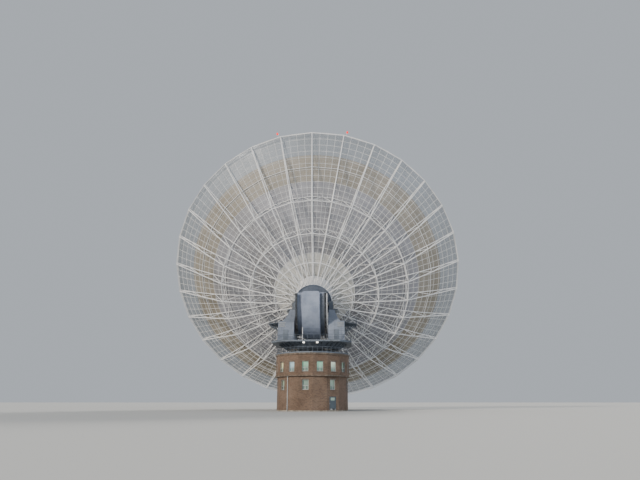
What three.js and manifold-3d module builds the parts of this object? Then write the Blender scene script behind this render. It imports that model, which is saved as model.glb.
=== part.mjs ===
// A fully steerable radio telescope with a 64 m dish, modelled at 1:2.
// Every size below is the full-size telescope's, in metres, and the group at the end is scaled to model
// millimetres.
// +Z is up and the origin is the middle of the tower's underside. The dish looks along +Y, tipped down from
// the zenith.
import * as THREE from "three";
import { mergeVertices } from "three/addons/utils/BufferGeometryUtils.js";
import Module from "manifold-3d";

const wasm = await Module();
wasm.setup();

// Scale and fits
const MODEL_SCALE = 1 / 2;
const MM_PER_METRE = 1000;
const GAP = 0.0006; // between pieces that touch: 0.3 mm in the model
const RUNNING_GAP = 0.0012; // round a turning shaft
const degrees = THREE.MathUtils.degToRad;

// Tower: a sixteen-sided concrete and brick building of three storeys
const TOWER_SIDES = 16;
const TOWER_TURN = degrees(3.4); // the tower stands turned by this against the dish's heading
const LOWER_RADIUS = 6.6; // to the corners
const UPPER_RADIUS = 6.9;
const WALL = 0.35;
const GROUND_SLAB_TOP = 0.2;
const FIRST_FLOOR = [3.0, 3.2];
const SECOND_FLOOR = [5.95, 6.15];
const DECK = [9.7, 10.1]; // the roof slab
const SECOND_FLOOR_RADIUS = 7.05;
const DECK_RADIUS = 7.05;
const RAILING = { radius: 6.85, height: 1.0, bar: 0.05 };
const GLASS = 0.03;
const WINDOW = { width: 1.15, height: 1.7 };
const MIDDLE_WINDOW_SILL = 3.65;
const TOP_WINDOW_SILL = 6.77;
const DOOR = {
  facet: 1,
  width: 1.5,
  height: 2.3,
  leaf: 0.08,
  recess: 0.05,
  clearance: 0.02, // round the leaf
  edge: 0.03, // behind the pin
  pin: 0.03, // its radius
};

// Azimuth track, on a low ring wall on the roof
const TRACK_WALL = { inner: 3.9, outer: 4.75, top: 10.25 };
const RAIL = { inner: 4.15, outer: 4.45, top: 10.4 };
const TRACK_SIDES = 24;

// Turret
const WHEEL = { radius: 0.28, half: 0.1, spread: 0.55 };
const BOGIE = { angles: [45, 135, 225, 315], halfLength: 1.0, halfWidth: 0.28, low: 10.62 };
const SKIRT = { innerLow: 3.8, outerLow: 5.0, innerHigh: 5.1, outerHigh: 6.3, low: 11.0, high: 12.0 };
const TURRET_DECK = { halfWidth: 7.4, halfDepth: 6.4, corner: 2.2, high: 12.25 };
const AXIS_HEIGHT = 19.8; // of the elevation axis
const SLOT_HALF = 3.15; // half of the slot between the two housings
const PLATFORM = {
  level: 15.9,
  thickness: 0.12,
  reach: 8.57,
  rear: -3.0, // at the housing
  tipRear: -0.6, // at its outer edge
  front: 3.0,
  bracketDrop: 1.3,
};
const HOUSING_TOP = 18.5;
const HOUSING_FRONT_VIEW = [
  [SLOT_HALF, TURRET_DECK.high],
  [6.15, TURRET_DECK.high],
  [6.15, PLATFORM.level],
  [5.4, PLATFORM.level],
  [4.93, 16.6],
  [4.55, 17.5],
  [4.3, HOUSING_TOP],
  [SLOT_HALF, HOUSING_TOP],
]; // half width and height
const HOUSING_SIDE_VIEW = [
  [-5.6, TURRET_DECK.high],
  [5.0, TURRET_DECK.high],
  [3.0, PLATFORM.level],
  [1.8, HOUSING_TOP],
  [-1.8, HOUSING_TOP],
  [-4.6, PLATFORM.level],
]; // along the dish's heading, and height
const BRACKETS_AT = [-0.5, 0.9, 2.3];
const BEARING = { inner: 3.2, outer: 4.0, radius: 0.72, half: 0.85, plate: 0.14, plateReach: 4.9 };

// What swings on the elevation axis
const DISH_ELEVATION = degrees(35); // at rest, above the horizon
const SHAFT = { radius: 0.45, end: 4.1, sides: 24 };
const SECTOR = { half: degrees(43), web: 6.55, rack: 6.9 };
const SECTOR_ENDS = { webInner: 2.58, webOuter: 2.76, rackInner: 2.46, rackOuter: 2.88 };
const SECTOR_HEAD = 2.2; // half width of the sector plates at the hub
const COUNTERWEIGHT = { half: degrees(46), inner: 2, outer: 6.2, ridge: 6.9, ridgeHalf: 1.7 };
const HUB = { radius: 3.6, rear: 1.45, front: 6.55, wall: 0.12, plate: 0.15 };

// Dish
const VERTEX = 6.62; // of the paraboloid, from the elevation axis
const FOCAL_LENGTH = 26;
const RIM_RADIUS = 31.86;
const DISH_SIDES = 30; // one flat gore between each pair of ribs
const SKIN = 0.02; // thickness of the surface panels
const PANEL_ZONES = {
  inner_panels: { radii: [0, 4.2, 8.4], material: "panel" },
  middle_panels: { radii: [8.4, 13.1, 17.8, 22.5], material: "perforated" },
  outer_panels: { radii: [22.5, 27.5], material: "perforatedOuter" },
  rim_mesh: { radii: [27.5, RIM_RADIUS], material: "mesh" },
};
const RIB_COUNT = 30;
const RIB_THICKNESS = 0.07;
const RIBS_PER_GROUP = 5;
const FLANGE = { thickness: 0.12, front: 6.3 };
const LOWER_CHORD = [
  [HUB.radius, 1.45],
  [4.6, 1.45],
  [13.36, 4.32],
  [19.6, 6.36],
  [RIM_RADIUS, 15.3],
];
const LOWER_NODES = [4.1, 13.36, 19.6, 25.3, 31.4];
const UPPER_NODES = [9.0, 16.5, 22.5, 28.5];
const CHORD_DEPTH = 0.22;
const WEB_WIDTH = 0.15;
const RING_BAR = 0.18;
// How far a ring falls in beside a rib
const BESIDE_RIB = (RIB_THICKNESS / 2) * Math.tan(Math.PI / RIB_COUNT);
const RING_REACH = RING_BAR / 2 + BESIDE_RIB;
const REAR_RINGS = { first_ring: 7.9, second_ring: 13.36, third_ring: 19.6 };
const FRONT_RING_RADIUS = 25.3;
const RIM = { inner: RIM_RADIUS + GAP, outer: 32, drop: 0.75, posts: 10 };

// Feed support
const LEG = { foot: 15.8, top: 1.8, topHeight: 32.9, width: 1.1, chord: 0.16, frames: 4, footPlate: 0.9 };
const CABIN = { radius: 2.3, low: 32.6, high: 37.2, wall: 0.06, sides: 12 };
const CABIN_DECK = { radius: 3.3, thickness: 0.08, aperture: 0.75 };
const HORN = { mouth: 0.55, low: 31.9, wall: 0.04 };

const MATERIALS = {
  brick: { color: 0x8a5b45, roughness: 0.9, metalness: 0 },
  concrete: { color: 0x9c968a, roughness: 0.85, metalness: 0 },
  glass: { color: 0xcfe4d8, roughness: 0.1, metalness: 0 },
  door: { color: 0x4d5a61, roughness: 0.5, metalness: 0.2 },
  rail: { color: 0x70706c, roughness: 0.4, metalness: 0.8 },
  railing: { color: 0xb9bcbd, roughness: 0.5, metalness: 0.5 },
  cladding: { color: 0x7f8a99, roughness: 0.55, metalness: 0.2 },
  plate: { color: 0x5c6470, roughness: 0.6, metalness: 0.3 },
  shaft: { color: 0x9b9da0, roughness: 0.35, metalness: 0.9 },
  steelwork: { color: 0xd9dbdc, roughness: 0.5, metalness: 0.3 },
  panel: { color: 0xd5d6d4, roughness: 0.5, metalness: 0.3 },
  perforated: { color: 0xb4b6b5, roughness: 0.6, metalness: 0.4 },
  perforatedOuter: { color: 0xa9a396, roughness: 0.6, metalness: 0.4 },
  mesh: { color: 0x8f98a2, roughness: 0.6, metalness: 0.5 },
  cabin: { color: 0xe4e5e3, roughness: 0.5, metalness: 0.1 },
};

const telescope = new THREE.Group();
const tower = new THREE.Group();
tower.rotation.z = TOWER_TURN;
const turret = new THREE.Group();
const dish = new THREE.Group();
dish.position.z = AXIS_HEIGHT;
dish.rotation.x = DISH_ELEVATION - Math.PI / 2;
turret.add(dish);
telescope.add(tower, turret);

function add(group, name, geometry, material) {
  const mesh = new THREE.Mesh(geometry, new THREE.MeshStandardMaterial(MATERIALS[material]));
  mesh.name = name;
  group.add(mesh);
}

// Closed mesh to solid and back, for joins and cuts.
function solidOf(geometry) {
  const bare = geometry.clone();
  bare.deleteAttribute("normal");
  bare.deleteAttribute("uv");
  const merged = mergeVertices(bare, 1e-5);
  return new wasm.Manifold(
    new wasm.Mesh({
      numProp: 3,
      vertProperties: merged.attributes.position.array,
      triVerts: new Uint32Array(merged.index.array),
    }),
  );
}

function geometryOf(solid) {
  const { vertProperties, triVerts } = solid.getMesh();
  const geometry = new THREE.BufferGeometry();
  geometry.setAttribute("position", new THREE.BufferAttribute(new Float32Array(vertProperties), 3));
  geometry.setIndex(new THREE.BufferAttribute(new Uint32Array(triVerts), 1));
  geometry.computeVertexNormals();
  return geometry;
}

const join = (...pieces) => geometryOf(pieces.map(solidOf).reduce((whole, piece) => whole.add(piece)));
const cut = (piece, ...tools) =>
  geometryOf(tools.map(solidOf).reduce((rest, tool) => rest.subtract(tool), solidOf(piece)));
const common = (a, b) => geometryOf(solidOf(a).intersect(solidOf(b)));

function box([x0, x1], [y0, y1], [z0, z1]) {
  const geometry = new THREE.BoxGeometry(x1 - x0, y1 - y0, z1 - z0);
  return geometry.translate((x0 + x1) / 2, (y0 + y1) / 2, (z0 + z1) / 2);
}

const shapeOf = (points) => new THREE.Shape(points.map(([x, y]) => new THREE.Vector2(x, y)));

function extrude(shape, depth) {
  return new THREE.ExtrudeGeometry(shape, { depth, bevelEnabled: false, curveSegments: 1 });
}

// A plan outline in X and Y, raised from low to high.
const raise = (points, [low, high]) => extrude(shapeOf(points), high - low).translate(0, 0, low);

// An outline in Y and Z, drawn out along X.
function alongX(points, [x0, x1]) {
  const axes = new THREE.Matrix4().makeBasis(
    new THREE.Vector3(0, 1, 0),
    new THREE.Vector3(0, 0, 1),
    new THREE.Vector3(1, 0, 0),
  );
  return extrude(shapeOf(points), x1 - x0).applyMatrix4(axes).translate(x0, 0, 0);
}

// An outline in X and Z, drawn out along Y.
function alongY(points, [y0, y1]) {
  const axes = new THREE.Matrix4().makeBasis(
    new THREE.Vector3(1, 0, 0),
    new THREE.Vector3(0, 0, 1),
    new THREE.Vector3(0, -1, 0),
  );
  return extrude(shapeOf(points), y1 - y0).applyMatrix4(axes).translate(0, y1, 0);
}

// A profile of [radius, height] points turned about Z. Its first corner line is on the -Y side.
function turn(profile, segments) {
  const points = profile.map(([radius, height]) => new THREE.Vector2(radius, height));
  return new THREE.LatheGeometry(points, segments).rotateX(Math.PI / 2);
}

// A ring of rectangular section. The profile runs anticlockwise so that its faces point out.
const ring = ([inner, outer], [low, high], segments) =>
  turn(
    [
      [inner, low],
      [outer, low],
      [outer, high],
      [inner, high],
      [inner, low],
    ],
    segments,
  );

// A straight square bar between two points.
function bar(from, to, width) {
  const length = from.distanceTo(to);
  const geometry = new THREE.BoxGeometry(width, width, length);
  const turnTo = new THREE.Matrix4().lookAt(to, from, new THREE.Vector3(0, 0, 1));
  return geometry.applyMatrix4(turnTo).translate(...from.clone().add(to).multiplyScalar(0.5));
}

// Corners of a regular polygon from corner first to corner last, counted from -Y towards +X.
function corners(radius, first, last, trim = 0) {
  const step = (2 * Math.PI) / TOWER_SIDES;
  const points = [];
  for (let i = first; i <= last; i++) {
    const inwards = i === first ? trim : i === last ? -trim : 0;
    const angle = -Math.PI / 2 + i * step + inwards / radius;
    points.push([radius * Math.cos(angle), radius * Math.sin(angle)]);
  }
  return points;
}

const polygon = (radius) => corners(radius, 0, TOWER_SIDES - 1);

// A box standing across the wall of one facet.
function facetBox(facet, width, [low, high], [inner, outer]) {
  const angle = -Math.PI / 2 + ((facet + 0.5) * 2 * Math.PI) / TOWER_SIDES;
  return box([inner, outer], [-width / 2, width / 2], [low, high]).rotateZ(angle);
}

// A quarter of the sixteen-sided wall, with windows in every facet or in every second one.
function wallQuarter(quarter, radius, levels, sill, every) {
  const perQuarter = TOWER_SIDES / 4;
  const first = quarter * perQuarter;
  const outer = corners(radius, first, first + perQuarter, GAP / 2);
  const inner = corners(radius - WALL, first, first + perQuarter, GAP / 2).reverse();
  const wall = raise([...outer, ...inner], levels);
  const holes = [];
  for (let facet = first + every - 1; facet < first + perQuarter; facet += every) {
    const through = [radius - 2 * WALL, radius + WALL];
    holes.push(facetBox(facet, WINDOW.width, [sill, sill + WINDOW.height], through));
  }
  return cut(wall, ...holes);
}

// The quarter with the entrance, in three pieces: one over the doorway and one at each side.
function entranceWalls(wall) {
  const lintel = GROUND_SLAB_TOP + DOOR.height;
  const reach = 2 * LOWER_RADIUS;
  const below = box([-reach, reach], [-reach, reach], [-1, lintel]);
  const angle = -Math.PI / 2 + ((DOOR.facet + 0.5) * 2 * Math.PI) / TOWER_SIDES;
  const side = (from, to) => box([0, reach], [from, to], [-1, lintel]).rotateZ(angle);
  return {
    entrance_lintel: cut(wall, below),
    entrance_wall_left: common(wall, side(-reach, -DOOR.width / 2)),
    entrance_wall_right: common(wall, side(DOOR.width / 2, reach)),
  };
}

const QUARTERS = ["south_east", "north_east", "north_west", "south_west"];

function buildTower() {
  add(tower, "ground_slab", raise(polygon(LOWER_RADIUS), [0, GROUND_SLAB_TOP]), "concrete");
  QUARTERS.forEach((side, quarter) => {
    const lowerLevels = [GROUND_SLAB_TOP, SECOND_FLOOR[0]];
    const upperLevels = [SECOND_FLOOR[1], DECK[0]];
    const lower = wallQuarter(quarter, LOWER_RADIUS, lowerLevels, MIDDLE_WINDOW_SILL, 2);
    if (quarter === 0) {
      for (const [name, piece] of Object.entries(entranceWalls(lower))) add(tower, name, piece, "brick");
    } else {
      add(tower, `lower_wall_${side}`, lower, "brick");
    }
    const upper = wallQuarter(quarter, UPPER_RADIUS, upperLevels, TOP_WINDOW_SILL, 1);
    add(tower, `upper_wall_${side}`, upper, "brick");
  });
  add(tower, "first_floor", raise(polygon(LOWER_RADIUS - WALL - GAP), FIRST_FLOOR), "concrete");
  add(tower, "second_floor", raise(polygon(SECOND_FLOOR_RADIUS), SECOND_FLOOR), "concrete");
  add(tower, "roof_deck", raise(polygon(DECK_RADIUS), DECK), "concrete");
  add(tower, "middle_window_glass", glassRing(LOWER_RADIUS, [FIRST_FLOOR[1], SECOND_FLOOR[0]]), "glass");
  add(tower, "top_window_glass", glassRing(UPPER_RADIUS, [SECOND_FLOOR[1], DECK[0]]), "glass");
  add(tower, "entrance_door", entranceDoor(), "door");
  add(tower, "walkway_railing", walkwayRailing(), "railing");
  const wall = ring([TRACK_WALL.inner, TRACK_WALL.outer], [DECK[1], TRACK_WALL.top], TRACK_SIDES);
  add(tower, "track_wall", wall, "concrete");
  const rail = ring([RAIL.inner, RAIL.outer], [TRACK_WALL.top, RAIL.top], TRACK_SIDES);
  add(tower, "azimuth_rail", rail, "rail");
}

// One sheet of glass round the inside of a storey's wall.
function glassRing(radius, levels) {
  const outer = radius - WALL - GAP;
  const shape = shapeOf(polygon(outer));
  shape.holes.push(shapeOf(polygon(outer - GLASS)));
  return extrude(shape, levels[1] - levels[0]).translate(0, 0, levels[0]);
}

// A leaf that opens outwards on a pin standing on the slab.
function entranceDoor() {
  const face = LOWER_RADIUS * Math.cos(Math.PI / TOWER_SIDES) - DOOR.recess;
  const half = DOOR.width / 2;
  const top = GROUND_SLAB_TOP + DOOR.height - DOOR.clearance;
  const levels = [GROUND_SLAB_TOP + DOOR.clearance, top];
  const leaf = box([face - DOOR.leaf, face], [DOOR.clearance - half, half - DOOR.edge], levels);
  const pin = new THREE.CylinderGeometry(DOOR.pin, DOOR.pin, top - GROUND_SLAB_TOP - GAP, 12);
  const middle = (top + GROUND_SLAB_TOP + GAP) / 2;
  pin.rotateX(Math.PI / 2).translate(face - DOOR.pin, half - DOOR.edge - DOOR.pin, middle);
  const angle = -Math.PI / 2 + ((DOOR.facet + 0.5) * 2 * Math.PI) / TOWER_SIDES;
  return join(leaf, pin).rotateZ(angle);
}

// Posts round the walkway, joined by their top rail.
function walkwayRailing() {
  const top = DECK[1] + RAILING.height;
  const radii = [RAILING.radius - RAILING.bar, RAILING.radius + RAILING.bar];
  const topRail = ring(radii, [top - 2 * RAILING.bar, top], TOWER_SIDES);
  const posts = corners(RAILING.radius, 0, TOWER_SIDES - 1).map(([x, y]) => {
    const half = RAILING.bar / 2;
    return box([x - half, x + half], [y - half, y + half], [DECK[1], top - RAILING.bar]);
  });
  return join(topRail, ...posts);
}

function buildTurret() {
  const skirt = turn(
    [
      [SKIRT.innerLow, SKIRT.low],
      [SKIRT.outerLow, SKIRT.low],
      [SKIRT.outerHigh, SKIRT.high],
      [SKIRT.innerHigh, SKIRT.high],
      [SKIRT.innerLow, SKIRT.low],
    ],
    TRACK_SIDES,
  );
  add(turret, "turret_skirt", skirt, "plate");
  ["front_left", "rear_left", "rear_right", "front_right"].forEach((corner, i) => {
    const bogie = wheelBogie().rotateZ(degrees(BOGIE.angles[(i + 1) % 4]));
    add(turret, `azimuth_bogie_${corner}`, bogie, "rail");
  });
  const { halfWidth: w, halfDepth: d, corner: c, high } = TURRET_DECK;
  const outline = [
    [c - w, -d],
    [w - c, -d],
    [w, c - d],
    [w, d - c],
    [w - c, d],
    [c - w, d],
    [-w, d - c],
    [-w, c - d],
  ];
  add(turret, "turret_deck", raise(outline, [SKIRT.high, high]), "plate");
  for (const [side, sign] of [["left", -1], ["right", 1]]) {
    add(turret, `housing_${side}`, housing(sign), "cladding");
    add(turret, `platform_${side}`, sidePlatform(sign), "plate");
    add(turret, `elevation_bearing_${side}`, bearing(sign), "plate");
  }
}

// A frame across the rail with two wheels on it, at +X before it is turned to its place.
function wheelBogie() {
  const middle = (RAIL.inner + RAIL.outer) / 2;
  const { halfLength, halfWidth, low } = BOGIE;
  const width = [middle - halfWidth, middle + halfWidth];
  const frame = box(width, [-halfLength, halfLength], [low, SKIRT.low - GAP]);
  const wheels = [-WHEEL.spread, WHEEL.spread].map((y) =>
    new THREE.CylinderGeometry(WHEEL.radius, WHEEL.radius, 2 * WHEEL.half, 16)
      .rotateZ(Math.PI / 2)
      .translate(middle, y, RAIL.top + RUNNING_GAP + WHEEL.radius),
  );
  return join(frame, ...wheels);
}

const mirrored = (points, sign) => (sign > 0 ? points : points.map(([x, y]) => [-x, y]).reverse());
const span = (from, to, sign) => (sign > 0 ? [from, to] : [-to, -from]);

// A tapering machine housing: its view from the front, cut to its view from the side.
function housing(sign) {
  const depth = [HOUSING_SIDE_VIEW[0][0], HOUSING_SIDE_VIEW[1][0]];
  const frontView = alongY(mirrored(HOUSING_FRONT_VIEW, sign), depth);
  return common(frontView, alongX(HOUSING_SIDE_VIEW, span(SLOT_HALF, HOUSING_FRONT_VIEW[1][0], sign)));
}

// A plate outside the housing, on triangular brackets.
function sidePlatform(sign) {
  const { level, thickness, reach, rear, tipRear, front, bracketDrop } = PLATFORM;
  const wall = HOUSING_FRONT_VIEW[1][0] + GAP;
  const outline = [
    [wall, rear],
    [reach, tipRear],
    [reach, front],
    [wall, front],
  ];
  const plate = raise(mirrored(outline, sign), [level, level + thickness]);
  const triangle = [
    [wall, level - bracketDrop],
    [reach - 0.1, level],
    [reach - 0.1, level + thickness / 2],
    [wall, level + thickness / 2],
  ];
  const brackets = BRACKETS_AT.map((y) => alongY(mirrored(triangle, sign), [y, y + thickness]));
  return join(plate, ...brackets);
}

// A plummer block on its base plate.
function bearing(sign) {
  const top = HOUSING_TOP;
  const ends = span(BEARING.inner, BEARING.outer, sign);
  const plate = box(span(BEARING.inner, BEARING.plateReach, sign), [-1.8, 1.8], [top, top + BEARING.plate]);
  const block = box(ends, [-BEARING.half, BEARING.half], [top, AXIS_HEIGHT]);
  const cap = axle(BEARING.radius, ends);
  const boreRadius = (SHAFT.radius + RUNNING_GAP) / Math.cos(Math.PI / SHAFT.sides);
  const bore = axle(boreRadius, [-2 * SHAFT.end, 2 * SHAFT.end]);
  cap.translate(0, 0, AXIS_HEIGHT);
  bore.translate(0, 0, AXIS_HEIGHT);
  return cut(join(plate, block, cap), bore);
}

// A round bar along X.
function axle(radius, [x0, x1]) {
  const cylinder = new THREE.CylinderGeometry(radius, radius, x1 - x0, SHAFT.sides);
  return cylinder.rotateZ(Math.PI / 2).translate((x0 + x1) / 2, 0, 0);
}

// Points on an arc about the elevation axis, in Y and Z, below the hub.
function arc(radius, half, steps = 10) {
  return Array.from({ length: steps + 1 }, (_, i) => {
    const angle = -Math.PI / 2 - half + (2 * half * i) / steps;
    return [radius * Math.cos(angle), radius * Math.sin(angle)];
  });
}

// A band of an arc, drawn out along X.
const arcBand = (inner, outer, half, ends) =>
  alongX([...arc(outer, half), ...arc(inner, half).reverse()], ends);

const surface = (radius) => VERTEX + radius ** 2 / (4 * FOCAL_LENGTH);

function buildSwingingMass() {
  const { radius, rear, front, wall, plate } = HUB;
  const drum = turn(
    [
      [0, rear],
      [radius, rear],
      [radius, front],
      [radius - wall, front],
      [radius - wall, rear + plate],
      [0, rear + plate],
    ],
    RIB_COUNT,
  );
  add(dish, "hub", drum, "cladding");
  add(dish, "elevation_shaft", axle(SHAFT.radius, [-SHAFT.end, SHAFT.end]), "shaft");
  const shaftHole = axle(SHAFT.radius + GAP, [-SHAFT.end - 1, SHAFT.end + 1]);
  for (const [side, sign] of [["left", -1], ["right", 1]]) {
    const head = rear - GAP;
    const outline = [[SECTOR_HEAD, head], [-SECTOR_HEAD, head], ...arc(SECTOR.web + GAP, SECTOR.half)];
    const web = alongX(outline, span(SECTOR_ENDS.webInner, SECTOR_ENDS.webOuter, sign));
    const rackEnds = span(SECTOR_ENDS.rackInner, SECTOR_ENDS.rackOuter, sign);
    const rack = arcBand(SECTOR.web, SECTOR.rack, SECTOR.half, rackEnds);
    add(dish, `gear_sector_${side}`, cut(join(web, rack), shaftHole), "plate");
  }
  const { half, inner, outer, ridge, ridgeHalf } = COUNTERWEIGHT;
  const reach = SECTOR_ENDS.webInner - GAP;
  const block = arcBand(inner, outer, half, [-reach, reach]);
  const ridgeBlock = arcBand(outer - wall, ridge, half, [-ridgeHalf, ridgeHalf]);
  add(dish, "counterweight", join(block, ridgeBlock), "cladding");
}

// A zone of the reflector's surface: a thin shell of revolution.
function panelZone(radii) {
  const upper = radii.map((radius) => [radius, surface(radius)]);
  const lower = radii.map((radius) => [radius, surface(radius) - SKIN]);
  const start = radii[0] > 0;
  const inner = ([radius, height], i) => [radius + (i === 0 && start ? GAP : 0), height];
  const profile = [...lower.map(inner), ...upper.map(inner).reverse()];
  return turn(start ? [...profile, profile[0]] : profile, DISH_SIDES);
}

// Everything below a zone's surface, to seat what stands on it.
function underSurface(radii) {
  const top = radii.map((radius) => [radius, surface(radius) + GAP]).reverse();
  const first = [radii[0], 0];
  return turn([first, [radii.at(-1), 0], ...top, first], DISH_SIDES);
}

// Height of a chain of straight lines at a radius.
function chainHeight(chain, radius) {
  const i = Math.max(1, chain.findIndex(([end]) => end >= radius - 1e-9));
  const [[r0, z0], [r1, z1]] = [chain[i - 1], chain[i]];
  return z0 + ((z1 - z0) * (radius - r0)) / (r1 - r0);
}

const SURFACE_RADII = [...new Set(Object.values(PANEL_ZONES).flatMap(({ radii }) => radii))];
const UPPER_CHORD = SURFACE_RADII.map((radius) => [radius, surface(radius) - SKIN - GAP]);

// Corners of a chain between two radii, moved up or down.
function along(chain, from, to, shift) {
  const bends = chain.filter(([radius]) => radius > from + 0.05 && radius < to - 0.05);
  const radii = [from, ...bends.map(([radius]) => radius), to];
  return radii.map((radius) => [radius, chainHeight(chain, radius) + shift]);
}

// The flat outline of a rib in radius and height, with a hole between each pair of web bars.
function ribShape() {
  const root = HUB.radius + FLANGE.thickness / 2;
  const end = RIM_RADIUS - BESIDE_RIB;
  const front = along(UPPER_CHORD, root, end, 0).reverse();
  const shape = shapeOf([...along(LOWER_CHORD, root, end, 0), ...front]);
  const lower = LOWER_NODES.map((radius) => [radius, chainHeight(LOWER_CHORD, radius) + CHORD_DEPTH]);
  const upper = UPPER_NODES.map((radius) => [radius, chainHeight(UPPER_CHORD, radius) - CHORD_DEPTH]);
  for (let i = 0; i < UPPER_NODES.length; i++) {
    const from = LOWER_NODES[i] + WEB_WIDTH;
    const to = LOWER_NODES[i + 1] - WEB_WIDTH;
    shape.holes.push(shapeOf([...along(LOWER_CHORD, from, to, CHORD_DEPTH), upper[i]]));
    if (i > 0) {
      const start = UPPER_NODES[i - 1] + WEB_WIDTH;
      const top = along(UPPER_CHORD, start, UPPER_NODES[i] - WEB_WIDTH, -CHORD_DEPTH);
      shape.holes.push(shapeOf([lower[i], ...top.reverse()]));
    }
  }
  return shape;
}

// Ribs side by side, held by the flange that bolts them to the hub.
function ribGroup(centre) {
  const step = (2 * Math.PI) / RIB_COUNT;
  const reach = (RIBS_PER_GROUP * step) / 2 - GAP;
  const flat = Math.cos(step / 2);
  const arcAt = (radius) => {
    const points = [];
    for (let i = -(RIBS_PER_GROUP - 1) / 2; i <= (RIBS_PER_GROUP - 1) / 2; i++) {
      points.push([radius * Math.sin(i * step), -radius * Math.cos(i * step)]);
    }
    const end = radius * flat;
    points.unshift([-end * Math.sin(reach), -end * Math.cos(reach)]);
    points.push([end * Math.sin(reach), -end * Math.cos(reach)]);
    return points;
  };
  const inner = arcAt(HUB.radius + GAP);
  const outer = arcAt(HUB.radius + FLANGE.thickness);
  const flange = raise([...outer, ...inner.reverse()], [HUB.rear, FLANGE.front]);
  const ribs = [];
  for (let i = 0; i < RIBS_PER_GROUP; i++) {
    const angle = (i - (RIBS_PER_GROUP - 1) / 2) * step;
    const rib = extrude(ribShape(), RIB_THICKNESS).rotateX(Math.PI / 2).translate(0, RIB_THICKNESS / 2, 0);
    ribs.push(rib.rotateZ(angle - Math.PI / 2));
  }
  return join(flange, ...ribs).rotateZ(centre);
}

function buildReflector() {
  for (const [name, { radii, material }] of Object.entries(PANEL_ZONES)) {
    add(dish, name, panelZone(radii), material);
  }
  const names = ["top", "upper_right", "lower_right", "bottom", "lower_left", "upper_left"];
  names.forEach((name, i) => add(dish, `ribs_${name}`, ribGroup((i * Math.PI) / 3), "steelwork"));
  for (const [name, radius] of Object.entries(REAR_RINGS)) {
    const top = chainHeight(LOWER_CHORD, radius - RING_REACH) - GAP;
    const levels = [top - RING_BAR, top];
    add(dish, name, ring([radius - RING_BAR / 2, radius + RING_BAR / 2], levels, RIB_COUNT), "steelwork");
  }
  const under = chainHeight(UPPER_CHORD, FRONT_RING_RADIUS - RING_REACH) - CHORD_DEPTH - GAP;
  const radii = [FRONT_RING_RADIUS - RING_BAR / 2, FRONT_RING_RADIUS + RING_BAR / 2];
  add(dish, "fourth_ring", ring(radii, [under - RING_BAR, under], RIB_COUNT), "steelwork");
  add(dish, "rim", rimTruss(), "steelwork");
}

// Two rings at the dish's edge, with a post at every third rib.
function rimTruss() {
  const top = surface(RIM_RADIUS);
  const low = top - RIM.drop;
  const width = RIM.outer - RIM.inner;
  const radii = [RIM.inner, RIM.outer];
  const rings = [top, low].map((height) => ring(radii, [height - width, height], DISH_SIDES));
  const levels = [low - width / 2, top - width / 2];
  const inset = 0.01;
  const posts = Array.from({ length: RIM.posts }, (_, i) => {
    const post = box([-width / 2, width / 2], [inset - RIM.outer, -RIM.inner - inset], levels);
    return post.rotateZ((i * 2 * Math.PI) / RIM.posts);
  });
  return join(...rings, ...posts);
}

// A three-sided lattice leg from the dish's surface to the cabin, on the -Y side before it is turned.
function feedLeg() {
  const { foot, top, topHeight, width, chord, frames, footPlate } = LEG;
  const base = surface(foot);
  const chordAt = (index, share) => {
    const size = width * (1 - 0.35 * share);
    const offset = [
      [0, -0.58],
      [-0.5, 0.29],
      [0.5, 0.29],
    ][index];
    const y = -foot + (foot - top) * share;
    const z = base + (topHeight - base) * share;
    return new THREE.Vector3(offset[0] * size, y + offset[1] * size, z);
  };
  const pieces = [0, 1, 2].map((index) => bar(chordAt(index, 0), chordAt(index, 1), chord));
  for (let i = 0; i <= frames; i++) {
    const share = 0.01 + (0.98 * i) / frames;
    for (let index = 0; index < 3; index++) {
      pieces.push(bar(chordAt(index, share), chordAt((index + 1) % 3, share), chord * 0.7));
    }
  }
  const plate = box([-footPlate, footPlate], [-footPlate, footPlate], [-0.3, 0]);
  plate.rotateX(-Math.atan(foot / (2 * FOCAL_LENGTH))).translate(0, -foot, surface(foot) + 0.15);
  const underDeck = CABIN.low - CABIN_DECK.thickness - GAP;
  const above = box([-width, width], [-foot, 0], [underDeck, underDeck + 2 * width]);
  return cut(join(plate, ...pieces), underSurface(PANEL_ZONES.middle_panels.radii), above);
}

function buildFeed() {
  ["upper", "right", "left"].forEach((name, i) => {
    add(dish, `feed_leg_${name}`, feedLeg().rotateZ((i * 2 * Math.PI) / 3), "steelwork");
  });
  const { radius, low, high, wall, sides } = CABIN;
  const shell = turn(
    [
      [radius - wall, low],
      [radius, low],
      [radius, high - 0.4],
      [radius - 0.5, high],
      [0, high],
      [0, high - wall],
      [radius - 0.55, high - wall],
      [radius - wall, high - 0.45],
      [radius - wall, low],
    ],
    sides,
  );
  add(dish, "focus_cabin", shell, "cabin");
  const { radius: reach, thickness, aperture } = CABIN_DECK;
  add(dish, "cabin_deck", ring([aperture, reach], [low - thickness, low - GAP], sides), "steelwork");
  const collar = aperture - GAP;
  const horn = turn(
    [
      [HORN.mouth - HORN.wall, HORN.low],
      [HORN.mouth, HORN.low],
      [collar, low - thickness],
      [collar, low + 0.3],
      [collar - HORN.wall, low + 0.3],
      [HORN.mouth - HORN.wall, HORN.low],
    ],
    sides,
  );
  add(dish, "feed_horn", horn, "shaft");
}

buildTower();
buildTurret();
buildSwingingMass();
buildReflector();
buildFeed();
telescope.scale.setScalar(MODEL_SCALE * MM_PER_METRE);
export default telescope;
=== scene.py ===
"""Looks for the radio telescope: shapes, finishes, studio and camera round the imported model.

Sizes in the classes are the full-size telescope's, in metres. The model is half that size.
"""

import logging
import math
from dataclasses import dataclass
from enum import Enum
from functools import partial
from operator import attrgetter
from typing import Iterable, Sequence

import bmesh
import bpy
from bmesh.types import BMEdge, BMFace, BMVert
from bpy.types import Material, Node, NodeSocket, NodeTree, Object
from mathutils import Matrix, Vector


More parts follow.
